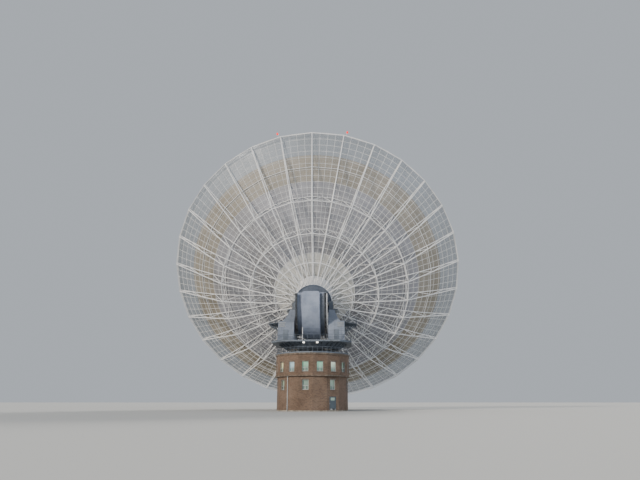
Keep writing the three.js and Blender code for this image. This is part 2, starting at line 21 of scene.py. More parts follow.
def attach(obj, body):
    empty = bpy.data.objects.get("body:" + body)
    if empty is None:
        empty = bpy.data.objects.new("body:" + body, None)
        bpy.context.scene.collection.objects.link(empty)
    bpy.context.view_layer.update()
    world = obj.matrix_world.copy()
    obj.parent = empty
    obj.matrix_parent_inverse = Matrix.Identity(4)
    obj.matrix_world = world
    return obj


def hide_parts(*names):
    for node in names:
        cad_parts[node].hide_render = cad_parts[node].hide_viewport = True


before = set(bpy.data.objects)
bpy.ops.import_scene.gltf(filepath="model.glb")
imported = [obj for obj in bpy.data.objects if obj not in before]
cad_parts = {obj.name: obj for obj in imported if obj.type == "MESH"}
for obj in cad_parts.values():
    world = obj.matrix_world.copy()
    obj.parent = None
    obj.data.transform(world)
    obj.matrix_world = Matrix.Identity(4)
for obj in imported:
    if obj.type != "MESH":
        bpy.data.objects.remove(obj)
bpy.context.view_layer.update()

log = logging.getLogger("telescope")

MODEL_SCALE = 0.5
AXIS_HEIGHT = 19.8
DISH_TIP = math.radians(35 - 90)
TOWER_TURN = math.radians(3.4)
# A handrail's tubes from the top down: height over the floor, and half the thickness.
HANDRAIL = ((1.0, 0.035), (0.66, 0.022), (0.34, 0.022))


class Place(Enum):
    """Where a sub-assembly stands: its frame, as a matrix from full-size metres to the model."""

    TOWER = "tower"
    TURRET = "turret"
    DISH = "dish"

    @property
    def matrix(self) -> Matrix:
        """Full-size coordinates of this frame to model coordinates.

        Returns:
            The matrix.
        """
        scale = Matrix.Scale(MODEL_SCALE, 4)
        if self is Place.TOWER:
            return scale @ Matrix.Rotation(TOWER_TURN, 4, "Z")
        if self is Place.DISH:
            return scale @ Matrix.Translation((0, 0, AXIS_HEIGHT)) @ Matrix.Rotation(DISH_TIP, 4, "X")
        return scale


def linear(code: str) -> tuple[float, float, float, float]:
    """Turns an sRGB hex colour into the linear colour that a shader wants.

    Args:
        code: six hex digits, such as "8a9099".

    Returns:
        Red, green, blue and alpha, linear.
    """
    channels = [int(code[i : i + 2], 16) / 255 for i in (0, 2, 4)]
    bent = [c / 12.92 if c <= 0.04045 else ((c + 0.055) / 1.055) ** 2.4 for c in channels]
    return (bent[0], bent[1], bent[2], 1.0)


def per_metre(millimetres: float) -> float:
    """A noise scale that gives features of a size on the model, with Object coordinates.

    Args:
        millimetres: the size of one feature on the model.

    Returns:
        The scale to set on the texture node.
    """
    return 1000.0 / millimetres


def add_node(
    tree: NodeTree,
    kind: str,
    inputs: dict | None = None,
    stops: Sequence[tuple[float, str]] = (),
    fade: str = "LINEAR",
    **settings,
) -> Node:
    """Adds a node, sets it up and links it.

    Args:
        tree: the material's node tree.
        kind: the node's type name, after its "ShaderNode".
        inputs: for each input, by name or number, a value or the socket to link it from.
        stops: for a colour ramp, its places from 0 to 1, each with its hex colour.
        fade: for a colour ramp, how the colour goes from one stop to the next.
        settings: the node's own properties.

    Returns:
        The new node.
    """
    node = tree.nodes.new(f"ShaderNode{kind}")
    for name, value in settings.items():
        setattr(node, name, value)
    if stops:
        node.color_ramp.interpolation = fade
        elements = node.color_ramp.elements
        while len(elements) < len(stops):
            elements.new(0.5)
        for element, (place, code) in zip(elements, stops):
            element.position = place
            element.color = linear(code)
    for key, value in (inputs or {}).items():
        if isinstance(value, NodeSocket):
            tree.links.new(value, node.inputs[key])
        else:
            node.inputs[key].default_value = value
    return node


def rectangle(x: Sequence[float], y: Sequence[float]) -> list[tuple[float, float]]:
    """A section's four corners between its low and high limits, in order round it."""
    return [(x[0], y[0]), (x[1], y[0]), (x[1], y[1]), (x[0], y[1])]


@dataclass(frozen=True)
class Finish:
    """A material: how one real surface looks."""

    name: str
    colour: str
    roughness: float
    metallic: float = 0.0

    def build(self) -> Material:
        """Makes the Blender material.

        Returns:
            The material.
        """
        material = bpy.data.materials.new(self.name)
        material.use_nodes = True
        tree = material.node_tree
        tree.nodes.clear()
        shader = add_node(tree, "BsdfPrincipled", {"Metallic": self.metallic})
        add_node(tree, "OutputMaterial", {"Surface": shader.outputs[0]})
        coordinates = add_node(tree, "TexCoord").outputs["Object"]
        self.dress(tree, shader, coordinates)
        return material

    def dress(self, tree: NodeTree, shader: Node, place: NodeSocket) -> None:
        """Gives the shader its colour, roughness and bump.

        Args:
            tree: the material's node tree.
            shader: the Principled shader.
            place: Object coordinates.
        """
        raise NotImplementedError


@dataclass(frozen=True)
class PaintedSteel(Finish):
    """Weathered paint on steel: chalky patches, grime that ran down, chips of rust, roller texture."""

    faded: str = "c8ccd0"
    grime: str = "5a5348"
    patch_mm: float = 1400.0
    grime_share: float = 0.35
    rust: str = "6e4a34"
    chip_from: float = 0.7

    def dress(self, tree: NodeTree, shader: Node, place: NodeSocket) -> None:
        """Patches, runs and bump.

        Args:
            tree: the material's node tree.
            shader: the Principled shader.
            place: Object coordinates.
        """
        add = partial(add_node, tree)
        patches = add(
            "TexNoise", {"Vector": place, "Scale": per_metre(self.patch_mm), "Detail": 5.0, "Roughness": 0.6}
        ).outputs["Fac"]
        body = add("ValToRGB", {"Fac": patches}, stops=[(0.3, self.colour), (0.75, self.faded)]).outputs[0]
        stretched = add("Mapping", {"Vector": place, "Scale": (1.0, 1.0, 0.09)}).outputs[0]
        runs = add(
            "TexNoise", {"Vector": stretched, "Scale": per_metre(260.0), "Detail": 6.0, "Roughness": 0.65}
        ).outputs["Fac"]
        share = add(
            "MapRange", {"Value": runs, "From Min": 0.5, "From Max": 0.78, "To Max": self.grime_share}
        ).outputs[0]
        dirty = add("Mix", {0: share, 6: body, 7: linear(self.grime)}, data_type="RGBA").outputs[2]
        spots = add(
            "TexNoise", {"Vector": place, "Scale": per_metre(170.0), "Detail": 8.0, "Roughness": 0.7}
        ).outputs["Fac"]
        chips = add(
            "MapRange",
            {"Value": spots, "From Min": self.chip_from, "From Max": self.chip_from + 0.03, "To Max": 0.7},
        ).outputs[0]
        mixed = add("Mix", {0: chips, 6: dirty, 7: linear(self.rust)}, data_type="RGBA").outputs[2]
        tree.links.new(mixed, shader.inputs["Base Color"])
        dull = add(
            "MapRange", {"Value": patches, "To Min": self.roughness - 0.1, "To Max": self.roughness + 0.14}
        ).outputs[0]
        tree.links.new(dull, shader.inputs["Roughness"])
        fine = add("TexNoise", {"Vector": place, "Scale": per_metre(30.0), "Detail": 3.0}).outputs["Fac"]
        height = add("Math", {0: chips, 1: -1.5, 2: fine}, operation="MULTIPLY_ADD").outputs[0]
        bump = add("Bump", {"Height": height, "Strength": 0.12, "Distance": 0.004}).outputs[0]
        tree.links.new(bump, shader.inputs["Normal"])


@dataclass(frozen=True)
class DeckPlate(PaintedSteel):
    """Painted floor plates: dark welded joints in a grid, and a worn, paler middle to each plate."""

    plate_mm: float = 600.0
    weld: str = "22252a"

    def dress(self, tree: NodeTree, shader: Node, place: NodeSocket) -> None:
        """The painted steel, with a grid of joints over its colour.

        Args:
            tree: the material's node tree.
            shader: the Principled shader.
            place: Object coordinates.
        """
        super().dress(tree, shader, place)
        add = partial(add_node, tree)
        painted = shader.inputs["Base Color"].links[0].from_socket
        x, y, _ = add("SeparateXYZ", {0: place}).outputs
        plate = self.plate_mm / 1000
        across = add("Math", {0: x, 1: plate / 2}, operation="PINGPONG").outputs[0]
        along = add("Math", {0: y, 1: plate / 2}, operation="PINGPONG").outputs[0]
        nearest = add("Math", {0: across, 1: along}, operation="MINIMUM").outputs[0]
        joint = add(
            "MapRange",
            {"Value": nearest, "From Min": 0.006, "From Max": 0.012, "To Min": 0.75, "To Max": 0.0},
        ).outputs[0]
        worn = add(
            "MapRange", {"Value": nearest, "From Min": 0.05, "From Max": plate / 2, "To Max": 0.25}
        ).outputs[0]
        paler = add("Mix", {0: worn, 6: painted, 7: linear(self.faded)}, data_type="RGBA").outputs[2]
        jointed = add("Mix", {0: joint, 6: paler, 7: linear(self.weld)}, data_type="RGBA").outputs[2]
        tree.links.new(jointed, shader.inputs["Base Color"])


@dataclass(frozen=True)
class BrickWork(Finish):
    """Brown face brick in running bond round a tower, with pale joints and darker burnt bricks."""

    joint: str = "8c8478"
    burnt: str = "58473b"
    radius: float = 3.3
    course_mm: float = 60.0
    length_mm: float = 168.0

    def dress(self, tree: NodeTree, shader: Node, place: NodeSocket) -> None:
        """Bricks laid by angle and height, 1.4 times their size at this scale so that they show.

        Args:
            tree: the material's node tree.
            shader: the Principled shader.
            place: Object coordinates.
        """
        add = partial(add_node, tree)
        x, y, height = add("SeparateXYZ", {0: place}).outputs
        angle = add("Math", {0: y, 1: x}, operation="ARCTAN2").outputs[0]
        along = add("Math", {0: angle, 1: self.radius}, operation="MULTIPLY").outputs[0]
        flat = add("CombineXYZ", {0: along, 1: height}).outputs[0]
        course = self.course_mm / 1000
        bricks = add(
            "TexBrick",
            {
                "Vector": flat,
                "Color1": linear(self.colour),
                "Color2": linear(self.burnt),
                "Mortar": linear(self.joint),
                "Scale": 1.0,
                "Mortar Size": course * 0.055,
                "Mortar Smooth": 0.1,
                "Bias": -0.25,
                "Brick Width": self.length_mm / 1000,
                "Row Height": course,
            },
        )
        soot = add(
            "TexNoise", {"Vector": place, "Scale": per_metre(1700.0), "Detail": 6.0, "Roughness": 0.65}
        ).outputs["Fac"]
        shade = add("ValToRGB", {"Fac": soot}, stops=[(0.3, "b8aea4"), (0.7, "ffffff")]).outputs[0]
        mixed = add(
            "Mix", {0: 0.8, 6: bricks.outputs["Color"], 7: shade}, data_type="RGBA", blend_type="MULTIPLY"
        ).outputs[2]
        tree.links.new(mixed, shader.inputs["Base Color"])
        shader.inputs["Roughness"].default_value = self.roughness
        grit = add("TexNoise", {"Vector": place, "Scale": per_metre(18.0), "Detail": 4.0}).outputs["Fac"]
        sunk = add("Math", {0: bricks.outputs["Fac"], 1: -1.0}, operation="MULTIPLY").outputs[0]
        rough = add("Math", {0: grit, 1: 0.25, 2: sunk}, operation="MULTIPLY_ADD").outputs[0]
        bump = add("Bump", {"Height": rough, "Strength": 0.5, "Distance": 0.012}).outputs[0]
        tree.links.new(bump, shader.inputs["Normal"])


@dataclass(frozen=True)
class CastConcrete(Finish):
    """Board-marked concrete: cloudy, with dark runs under its edges and small air holes."""

    dark: str = "6f6a60"

    def dress(self, tree: NodeTree, shader: Node, place: NodeSocket) -> None:
        """Clouds, runs and pits.

        Args:
            tree: the material's node tree.
            shader: the Principled shader.
            place: Object coordinates.
        """
        add = partial(add_node, tree)
        clouds = add(
            "TexNoise", {"Vector": place, "Scale": per_metre(900.0), "Detail": 8.0, "Roughness": 0.62}
        ).outputs["Fac"]
        body = add("ValToRGB", {"Fac": clouds}, stops=[(0.28, self.dark), (0.62, self.colour)]).outputs[0]
        stretched = add("Mapping", {"Vector": place, "Scale": (1.0, 1.0, 0.1)}).outputs[0]
        runs = add("TexNoise", {"Vector": stretched, "Scale": per_metre(180.0), "Detail": 4.0}).outputs["Fac"]
        shade = add("ValToRGB", {"Fac": runs}, stops=[(0.42, "9a9288"), (0.6, "ffffff")]).outputs[0]
        mixed = add("Mix", {0: 0.6, 6: body, 7: shade}, data_type="RGBA", blend_type="MULTIPLY").outputs[2]
        tree.links.new(mixed, shader.inputs["Base Color"])
        shader.inputs["Roughness"].default_value = self.roughness
        pits = add("TexVoronoi", {"Vector": place, "Scale": per_metre(60.0)}).outputs["Distance"]
        bump = add("Bump", {"Height": pits, "Strength": 0.25, "Distance": 0.006}).outputs[0]
        tree.links.new(bump, shader.inputs["Normal"])


@dataclass(frozen=True)
class DishPanel(Finish):
    """Reflector sheet: panels in rings with dark seams between them, solid, punched or of wire.

    Its holes are several times their real size, so that they show at all.
    """

    tint: str = "b9bab6"
    panel_metres: float = 1.15
    panel_degrees: float = 3.0
    hole_mm: float = 30.0
    open_share: float = 0.0
    woven: bool = False
    seam_metres: float = 0.022
    seam_colour: str = "4e4b46"

    def dress(self, tree: NodeTree, shader: Node, place: NodeSocket) -> None:
        """Panels laid by radius and angle on the tipped dish.

        Args:
            tree: the material's node tree.
            shader: the Principled shader.
            place: Object coordinates.
        """
        add = partial(add_node, tree)
        local = add(
            "Mapping",
            {
                "Vector": place,
                "Location": (0, 0, AXIS_HEIGHT * MODEL_SCALE),
                "Rotation": (DISH_TIP, 0, 0),
                "Scale": (MODEL_SCALE,) * 3,
            },
            vector_type="TEXTURE",
        ).outputs[0]
        x, y, _ = add("SeparateXYZ", {0: local}).outputs
        flat = add("CombineXYZ", {0: x, 1: y}).outputs[0]
        radius = add("VectorMath", {0: flat}, operation="LENGTH").outputs["Value"]
        angle = add("Math", {0: y, 1: x}, operation="ARCTAN2").outputs[0]
        width = math.radians(self.panel_degrees)
        row = add("Math", {0: radius, 1: self.panel_metres}, operation="DIVIDE").outputs[0]
        column = add("Math", {0: angle, 1: width}, operation="DIVIDE").outputs[0]
        ring = add("Math", {0: row}, operation="FLOOR").outputs[0]
        gore = add("Math", {0: column}, operation="FLOOR").outputs[0]
        cell = add("CombineXYZ", {0: ring, 1: gore}).outputs[0]
        chance = add("TexWhiteNoise", {"Vector": cell}).outputs["Value"]
        sheet = add("ValToRGB", {"Fac": chance}, stops=[(0.0, self.tint), (1.0, self.colour)]).outputs[0]
        outward = add("Math", {0: row, 1: 0.5}, operation="PINGPONG").outputs[0]
        to_ring = add("Math", {0: outward, 1: self.panel_metres}, operation="MULTIPLY").outputs[0]
        arc = add("Math", {0: radius, 1: width}, operation="MULTIPLY").outputs[0]
        around = add("Math", {0: column, 1: 0.5}, operation="PINGPONG").outputs[0]
        to_spoke = add("Math", {0: around, 1: arc}, operation="MULTIPLY").outputs[0]
        nearest = add("Math", {0: to_ring, 1: to_spoke}, operation="MINIMUM").outputs[0]
        seam = add("Math", {0: nearest, 1: self.seam_metres}, operation="LESS_THAN").outputs[0]
        weather = add(
            "TexNoise", {"Vector": place, "Scale": per_metre(3200.0), "Detail": 4.0, "Roughness": 0.5}
        ).outputs["Fac"]
        shade = add("ValToRGB", {"Fac": weather}, stops=[(0.3, "dedbd3"), (0.65, "ffffff")]).outputs[0]
        worn = add("Mix", {0: 0.8, 6: sheet, 7: shade}, data_type="RGBA", blend_type="MULTIPLY").outputs[2]
        faint = add("Math", {0: seam, 1: 0.6}, operation="MULTIPLY").outputs[0]
        joined = add("Mix", {0: faint, 6: worn, 7: linear(self.seam_colour)}, data_type="RGBA").outputs[2]
        tree.links.new(joined, shader.inputs["Base Color"])
        dull = add(
            "MapRange", {"Value": chance, "To Min": self.roughness - 0.06, "To Max": self.roughness + 0.06}
        ).outputs[0]
        tree.links.new(dull, shader.inputs["Roughness"])
        dents = add("TexNoise", {"Vector": place, "Scale": per_metre(450.0), "Detail": 1.0}).outputs["Fac"]
        height = add("Math", {0: seam, 1: -0.5, 2: dents}, operation="MULTIPLY_ADD").outputs[0]
        bump = add("Bump", {"Height": height, "Strength": 0.2, "Distance": 0.012}).outputs[0]
        tree.links.new(bump, shader.inputs["Normal"])
        if self.open_share:
            self.punch(tree, shader, flat)

    def punch(self, tree: NodeTree, shader: Node, flat: NodeSocket) -> None:
        """Opens the holes.

        Args:
            tree: the material's node tree.
            shader: the Principled shader.
            flat: full-size coordinates across the dish.
        """
        grid = add_node(
            tree,
            "TexVoronoi",
            {"Vector": flat, "Scale": per_metre(self.hole_mm / MODEL_SCALE), "Randomness": 0.0},
            voronoi_dimensions="2D",
            distance="CHEBYCHEV" if self.woven else "EUCLIDEAN",
        ).outputs["Distance"]
        edge = math.sqrt(self.open_share) / 2 if self.woven else math.sqrt(self.open_share / math.pi)
        cover = add_node(
            tree, "MapRange", {"Value": grid, "From Min": edge - 0.03, "From Max": edge + 0.03}
        ).outputs[0]
        tree.links.new(cover, shader.inputs["Alpha"])


@dataclass(frozen=True)
class LitGlass(Finish):
    """Window glass that glows with painted room light: brightest under the ceiling, each room with its own
    lamp tint.
    """

    glow: str = "eef2dc"
    slat: str = "4c5a50"
    lower_storey: str = "717d78"
    strength: float = 1.0
    sill: float = 3.65 * MODEL_SCALE
    storey: float = 3.12 * MODEL_SCALE
    breadth: float = 14.0 * MODEL_SCALE
    lamps: tuple = (
        (0.0, "ffe0a0"),
        (0.17, "b2ccf2"),
        (0.32, "6cb397"),
        (0.5, "78c2ab"),
        (0.68, "ffffff"),
        (0.83, "5f6c63"),
    )

    def dress(self, tree: NodeTree, shader: Node, place: NodeSocket) -> None:
        """Glow by the height over the sill, by the room, and by the slats of a blind.

        Args:
            tree: the material's node tree.
            shader: the Principled shader.
            place: Object coordinates.
        """
        add = partial(add_node, tree)
        across, _, height = add("SeparateXYZ", {0: place}).outputs
        over_sill = add("Math", {0: height, 1: self.sill}, operation="SUBTRACT").outputs[0]
        storeys = add("Math", {0: over_sill, 1: self.storey}, operation="DIVIDE").outputs[0]
        above = add("Math", {0: storeys}, operation="FRACT").outputs[0]
        # Painted light: the glass glows dark at the sill and brightest under the ceiling, as from lit rooms
        # behind it.
        room = add(
            "ValToRGB",
            {"Fac": above},
            stops=[(0.0, "2c3a34"), (0.14, "6f877b"), (0.26, "c9d8c4"), (0.5, self.glow)],
        ).outputs[0]
        chance = add("TexNoise", {"Vector": place, "Scale": per_metre(1100.0), "Detail": 1.0}).outputs["Fac"]
        dim = add("ValToRGB", {"Fac": chance}, stops=[(0.35, "86a195"), (0.6, "ffffff")]).outputs[0]
        turned = add("Math", {0: across, 1: self.breadth}, operation="DIVIDE").outputs[0]
        share = add("Math", {0: turned, 1: 0.5}, operation="ADD").outputs[0]
        tint = add("ValToRGB", {"Fac": share}, stops=self.lamps, fade="CONSTANT").outputs[0]
        # Painted light: the lower storey's windows glow dimmer than the top storey's.
        half = add("Math", {0: storeys, 1: 0.5}, operation="MULTIPLY").outputs[0]
        level = add(
            "ValToRGB", {"Fac": half}, stops=[(0.0, self.lower_storey), (0.5, "ffffff")], fade="CONSTANT"
        ).outputs[0]
        light = room
        for layer in (dim, tint, level):
            light = add(
                "Mix", {0: 1.0, 6: light, 7: layer}, data_type="RGBA", blend_type="MULTIPLY"
            ).outputs[2]
        wave = add("Math", {0: height, 1: 0.02}, operation="PINGPONG").outputs[0]
        slats = add("Math", {0: wave, 1: 0.007}, operation="LESS_THAN").outputs[0]
        drawn = add("Math", {0: chance, 1: 0.52}, operation="GREATER_THAN").outputs[0]
        hidden = add("Math", {0: slats, 1: drawn}, operation="MULTIPLY").outputs[0]
        blind = add("Math", {0: hidden, 1: 0.45}, operation="MULTIPLY").outputs[0]
        seen = add("Mix", {0: blind, 6: light, 7: linear(self.slat)}, data_type="RGBA").outputs[2]
        tree.links.new(seen, shader.inputs["Emission Color"])
        shader.inputs["Emission Strength"].default_value = self.strength
        shader.inputs["Base Color"].default_value = linear(self.colour)
        shader.inputs["Roughness"].default_value = self.roughness
        shader.inputs["IOR"].default_value = 1.52


@dataclass(frozen=True)
class SignalGlass(Finish):
    """A lit lamp's glass: strong colour, ribbed."""

    strength: float = 4.0

    def dress(self, tree: NodeTree, shader: Node, place: NodeSocket) -> None:
        """Glow and ribs.

        Args:
            tree: the material's node tree.
            shader: the Principled shader.
            place: Object coordinates.
        """
        add = partial(add_node, tree)
        shader.inputs["Base Color"].default_value = linear(self.colour)
        shader.inputs["Roughness"].default_value = self.roughness
        shader.inputs["Emission Color"].default_value = linear(self.colour)
        shader.inputs["Emission Strength"].default_value = self.strength
        ribs = add("TexWave", {"Vector": place, "Scale": per_metre(60.0)}, bands_direction="Z").outputs["Fac"]
        bump = add("Bump", {"Height": ribs, "Strength": 0.3, "Distance": 0.004}).outputs[0]
        tree.links.new(bump, shader.inputs["Normal"])


@dataclass(frozen=True)
class BareSteel(Finish):
    """Machined or rolled steel that is kept greased: fine marks along it, dark grease in patches."""

    grease: str = "2c2822"

    def dress(self, tree: NodeTree, shader: Node, place: NodeSocket) -> None:
        """Grease patches and tool marks.

        Args:
            tree: the material's node tree.
            shader: the Principled shader.
            place: Object coordinates.
        """
        add = partial(add_node, tree)
        patches = add("TexNoise", {"Vector": place, "Scale": per_metre(240.0), "Detail": 6.0}).outputs["Fac"]
        body = add("ValToRGB", {"Fac": patches}, stops=[(0.36, self.grease), (0.58, self.colour)]).outputs[0]
        tree.links.new(body, shader.inputs["Base Color"])
        dull = add(
            "MapRange", {"Value": patches, "To Min": self.roughness + 0.15, "To Max": self.roughness - 0.1}
        ).outputs[0]
        tree.links.new(dull, shader.inputs["Roughness"])
        marks = add("TexNoise", {"Vector": place, "Scale": per_metre(12.0), "Detail": 2.0}).outputs["Fac"]
        bump = add("Bump", {"Height": marks, "Strength": 0.1, "Distance": 0.002}).outputs[0]
        tree.links.new(bump, shader.inputs["Normal"])


class Metal(Enum):
    """The telescope's finishes by the part that wears them.

    Each line's comment says what the finish gives the eye.
    """

    # Nearly white lattice that stands out from the greyer sheet, with rust-brown runs.
    STRUCTURE = PaintedSteel(
        "chalky_white_alkyd_on_steel",
        "dadde0",
        0.5,
        faded="ebebe9",
        grime="857b6d",
        patch_mm=1800.0,
        grime_share=0.28,
    )
    # Dark plate work: deck, bearings, gear webs and the rails on them.
    TURRET = PaintedSteel(
        "slate_enamel_on_plate",
        "4e5863",
        0.48,
        faded="6b7581",
        grime="2f2c28",
        patch_mm=1300.0,
        grime_share=0.45,
    )
    # The deck that people walk on: the same paint, in plates.
    DECK = DeckPlate(
        "slate_enamel_on_floor_plate",
        "4e5863",
        0.55,
        faded="7a838e",
        grime="2f2c28",
        patch_mm=900.0,
        grime_share=0.5,
    )
    # The housings' sheet, a step lighter than the plate.
    CLADDING = PaintedSteel(
        "blue_grey_enamel_on_cladding",
        "667080",
        0.46,
        faded="8a93a1",
        grime="3b3733",
        patch_mm=1500.0,
        grime_share=0.4,
    )
    # The palest blue on the turret: blue enamel made paler with a painted highlight, for the big round back
    # that catches the light.
    COUNTERWEIGHT = PaintedSteel(
        "blue_enamel_with_painted_highlight_on_cast_iron", "7d889c", 0.4, faded="a3adbf", grime="4a4a4a", patch_mm=1500.0
    )
    # Dull zinc, lighter than what it stands on.
    RAILING = PaintedSteel(
        "galvanised_steel_tube",
        "a2a6a8",
        0.46,
        0.2,
        faded="c2c5c5",
        grime="6b6459",
        patch_mm=500.0,
        grime_share=0.22,
    )
    # Clean white, the dish's brightest solid.
    CABIN = PaintedSteel(
        "white_enamel_on_aluminium",
        "dcdedb",
        0.4,
        faded="efefec",
        grime="8b8579",
        patch_mm=1200.0,
        grime_share=0.2,
    )
    # The one dark, smoother face in the brown brick.
    DOOR = PaintedSteel(
        "slate_enamel_on_steel_door",
        "3e4a52",
        0.42,
        faded="53616a",
        grime="2a2825",
        patch_mm=400.0,
        grime_share=0.3,
    )
    # Worn bright on top, greasy in the corners.
    RAIL = BareSteel("greased_rail_steel", "8b8881", 0.42, 0.6)
    # The cleanest metal: bolts, covers and flanges with a soft sheen.
    SHAFT = BareSteel("machined_shaft_steel", "b3b2ad", 0.34, 0.7)
    # The toothed edge beside the counterweight, dark with grease.
    RACK = BareSteel("greased_rack_steel", "6f7276", 0.42, 0.5)
    # Small warm courses that give the tower its scale, quite matt.
    BRICK = BrickWork("brown_face_brick", "7a6454", 0.86)
    # Pale, cloudy and matt under the darker steel.
    CONCRETE = CastConcrete("board_marked_concrete", "aba498", 0.82)
    # Ledges that brick dust and rain have browned, so that they hardly part from the wall.
    LEDGE = CastConcrete("stained_concrete_ledge", "75675a", 0.84)
    # The tower's bright spots, glass that glows with painted room light, each room with another tint.
    GLASS = LitGlass("lit_window_glass", "84958d", 0.08)
    # Small red points at the rim and on the cabin.
    WARNING = SignalGlass("red_lamp_glass", "e0140c", 0.25, strength=2.0)
    # Two warm white points under the deck's edge.
    LAMP = SignalGlass("clear_lamp_glass", "f4f2e4", 0.25, strength=3.0)
    # Four zones of sheet from the middle out: white, lavender grey, tan grey, and see-through wire; the
    # lavender and the tan are painted light on one grey perforated sheet.
    SOLID = DishPanel(
        "white_painted_aluminium_sheet", "dededb", 0.45, tint="d2d3d1", panel_metres=1.4, panel_degrees=12.0
    )
    # Painted light: the perforated sheet tinted lavender grey for the light on its inner rings.
    PERFORATED = DishPanel(
        "perforated_aluminium_sheet",
        "a3a4ab",
        0.5,
        0.15,
        tint="989aa2",
        panel_degrees=6.0,
        hole_mm=24.0,
        open_share=0.1,
    )
    # Painted light: the same perforated sheet tinted tan grey for the light on its outer ring.
    PERFORATED_OUTER = DishPanel(
        "perforated_sheet_in_painted_tan_light", "a39d91", 0.55, 0.1, tint="999489", hole_mm=24.0, open_share=0.16
    )
    MESH = DishPanel(
        "galvanised_wire_mesh", "9299a0", 0.5, 0.3, tint="899097", hole_mm=40.0, open_share=0.5, woven=True
    )

    @property
    def material(self) -> Material:
        """The Blender material, made once."""
        return bpy.data.materials.get(self.value.name) or self.value.build()


class Shape:
    """A mesh in the making, in full-size metres of one frame."""

    def __init__(self, place: Place) -> None:
        """Starts empty in a frame."""
        self.place = place
        self.bm = bmesh.new()
        self.layer = self.bm.verts.layers.int.new("stamp")
        self.stamps = 0

    def mark(self) -> int:
        """Stamps all that was made so far, to know later what is new.

        Returns:
            The stamp's number; 0 would be before anything.
        """
        self.stamps += 1
        for vert in self.bm.verts:
            if vert[self.layer] == 0:
                vert[self.layer] = self.stamps
        return self.stamps

    def since(self, mark: int) -> list[BMVert]:
        """The vertices made since a mark."""
        return [vert for vert in self.bm.verts if not 0 < vert[self.layer] <= mark]

    def geometry(self, mark: int) -> list:
        """The vertices, edges and faces made since a mark.

        Args:
            mark: the mark.

        Returns:
            The vertices, then the edges and the faces by their numbers.
        """
        verts = self.since(mark)
        edges = {edge for vert in verts for edge in vert.link_edges}
        faces = {face for vert in verts for face in vert.link_faces}
        for part in (self.bm.edges, self.bm.faces):
            part.index_update()
        by_index = attrgetter("index")
        return verts + sorted(edges, key=by_index) + sorted(faces, key=by_index)

    def bar(self, start: Sequence[float], end: Sequence[float], radius: float, sides: int = 6) -> None:
        """A round bar between two points.

        Args:
            start, end: the ends of its middle line.
            radius: half its thickness.
            sides: how many flats it is drawn with.
        """
        a, b = Vector(start), Vector(end)
        turn = (b - a).to_track_quat("Z", "Y").to_matrix().to_4x4()
        bmesh.ops.create_cone(
            self.bm,
            cap_ends=True,
            segments=sides,
            radius1=radius,
            radius2=radius,
            depth=(b - a).length,
            matrix=Matrix.Translation((a + b) / 2) @ turn,
        )

    def chain(self, points: Sequence[Sequence[float]], radius: float, sides: int = 6) -> None:
        """Round bars from point to point."""
        for a, b in zip(points, points[1:]):
            self.bar(a, b, radius, sides)

    def box(
        self, x: Sequence[float], y: Sequence[float], z: Sequence[float], bevel: float = 0.0
    ) -> list[BMVert]:
        """A box between limits, with its edges bevelled if asked.

        Args:
            x, y, z: low and high limit on each axis.
            bevel: width of the bevel.

        Returns:
            The box's vertices.
        """
        size = Vector((x[1] - x[0], y[1] - y[0], z[1] - z[0]))
        middle = Vector((x[0] + x[1], y[0] + y[1], z[0] + z[1])) / 2
        matrix = Matrix.Translation(middle) @ Matrix.Diagonal((*size, 1))
        made = bmesh.ops.create_cube(self.bm, size=1.0, matrix=matrix)
        verts = made["verts"]
        if bevel:
            edges = list({edge for vert in verts for edge in vert.link_edges})
            made = bmesh.ops.bevel(
                self.bm,
                geom=verts + edges,
                offset=bevel,
                offset_type="OFFSET",
                segments=1,
                profile=0.5,
                affect="EDGES",
                material=-1,
            )
            bevelled = {vert for face in made["faces"] for vert in face.verts}
            verts = list(bevelled | {vert for vert in verts if vert.is_valid})
        return verts

    def spun(self, profile: Sequence[tuple[float, float]], steps: int, closed: bool = True) -> None:
        """A shape of revolution about Z.

        Args:
            profile: radius and height of each point; the first corner line is on the -Y side.
            steps: how many flats it has.
            closed: whether the profile's ends are joined.
        """
        verts = [self.bm.verts.new((0, -radius, height)) for radius, height in profile]
        pairs = zip(verts, verts[1:] + verts[:1]) if closed else zip(verts, verts[1:])
        edges = [self.bm.edges.new(pair) for pair in pairs]
        bmesh.ops.spin(
            self.bm,
            geom=verts + edges,
            cent=(0, 0, 0),
            axis=(0, 0, 1),
            angle=math.tau,
            steps=steps,
            use_merge=True,
        )

    def copies_round(self, mark: int, count: int, step: float) -> None:
        """Repeats what was made since a mark about Z.

        Args:
            mark: the mark before it was made.
            count: how many there are in all.
            step: the angle from each to the next.
        """
        bmesh.ops.spin(
            self.bm,
            geom=self.geometry(mark),
            cent=(0, 0, 0),
            axis=(0, 0, 1),
            angle=step * (count - 1),
            steps=count - 1,
            use_duplicate=True,
        )

    def turn(self, mark: int, angle: float) -> None:
        """Turns what was made since a mark about Z."""
        bmesh.ops.rotate(
            self.bm, verts=self.since(mark), cent=(0, 0, 0), matrix=Matrix.Rotation(angle, 3, "Z")
        )

    def moved(self, mark: int, matrix: Matrix) -> None:
        """Moves and turns what was made since a mark by a matrix."""
        bmesh.ops.transform(self.bm, matrix=matrix, verts=self.since(mark))

    def swept(self, profile: Sequence[tuple[float, float]], begin: float, end: float, steps: int) -> None:
        """A band of an arc about X, with closed ends.

        Args:
            profile: X and radius of each corner of its section.
            begin, end: its angles about X, from straight down.
            steps: how many flats it has.
        """
        verts = [self.bm.verts.new((x, 0, -radius)) for x, radius in profile]
        edges = [self.bm.edges.new(pair) for pair in zip(verts, verts[1:] + verts[:1])]
        bmesh.ops.rotate(self.bm, verts=verts, cent=(0, 0, 0), matrix=Matrix.Rotation(begin, 3, "X"))
        made = bmesh.ops.spin(
            self.bm, geom=verts + edges, cent=(0, 0, 0), axis=(1, 0, 0), angle=end - begin, steps=steps
        )
        last = [item for item in made["geom_last"] if isinstance(item, BMEdge)]
        bmesh.ops.holes_fill(self.bm, edges=edges + last, sides=0)

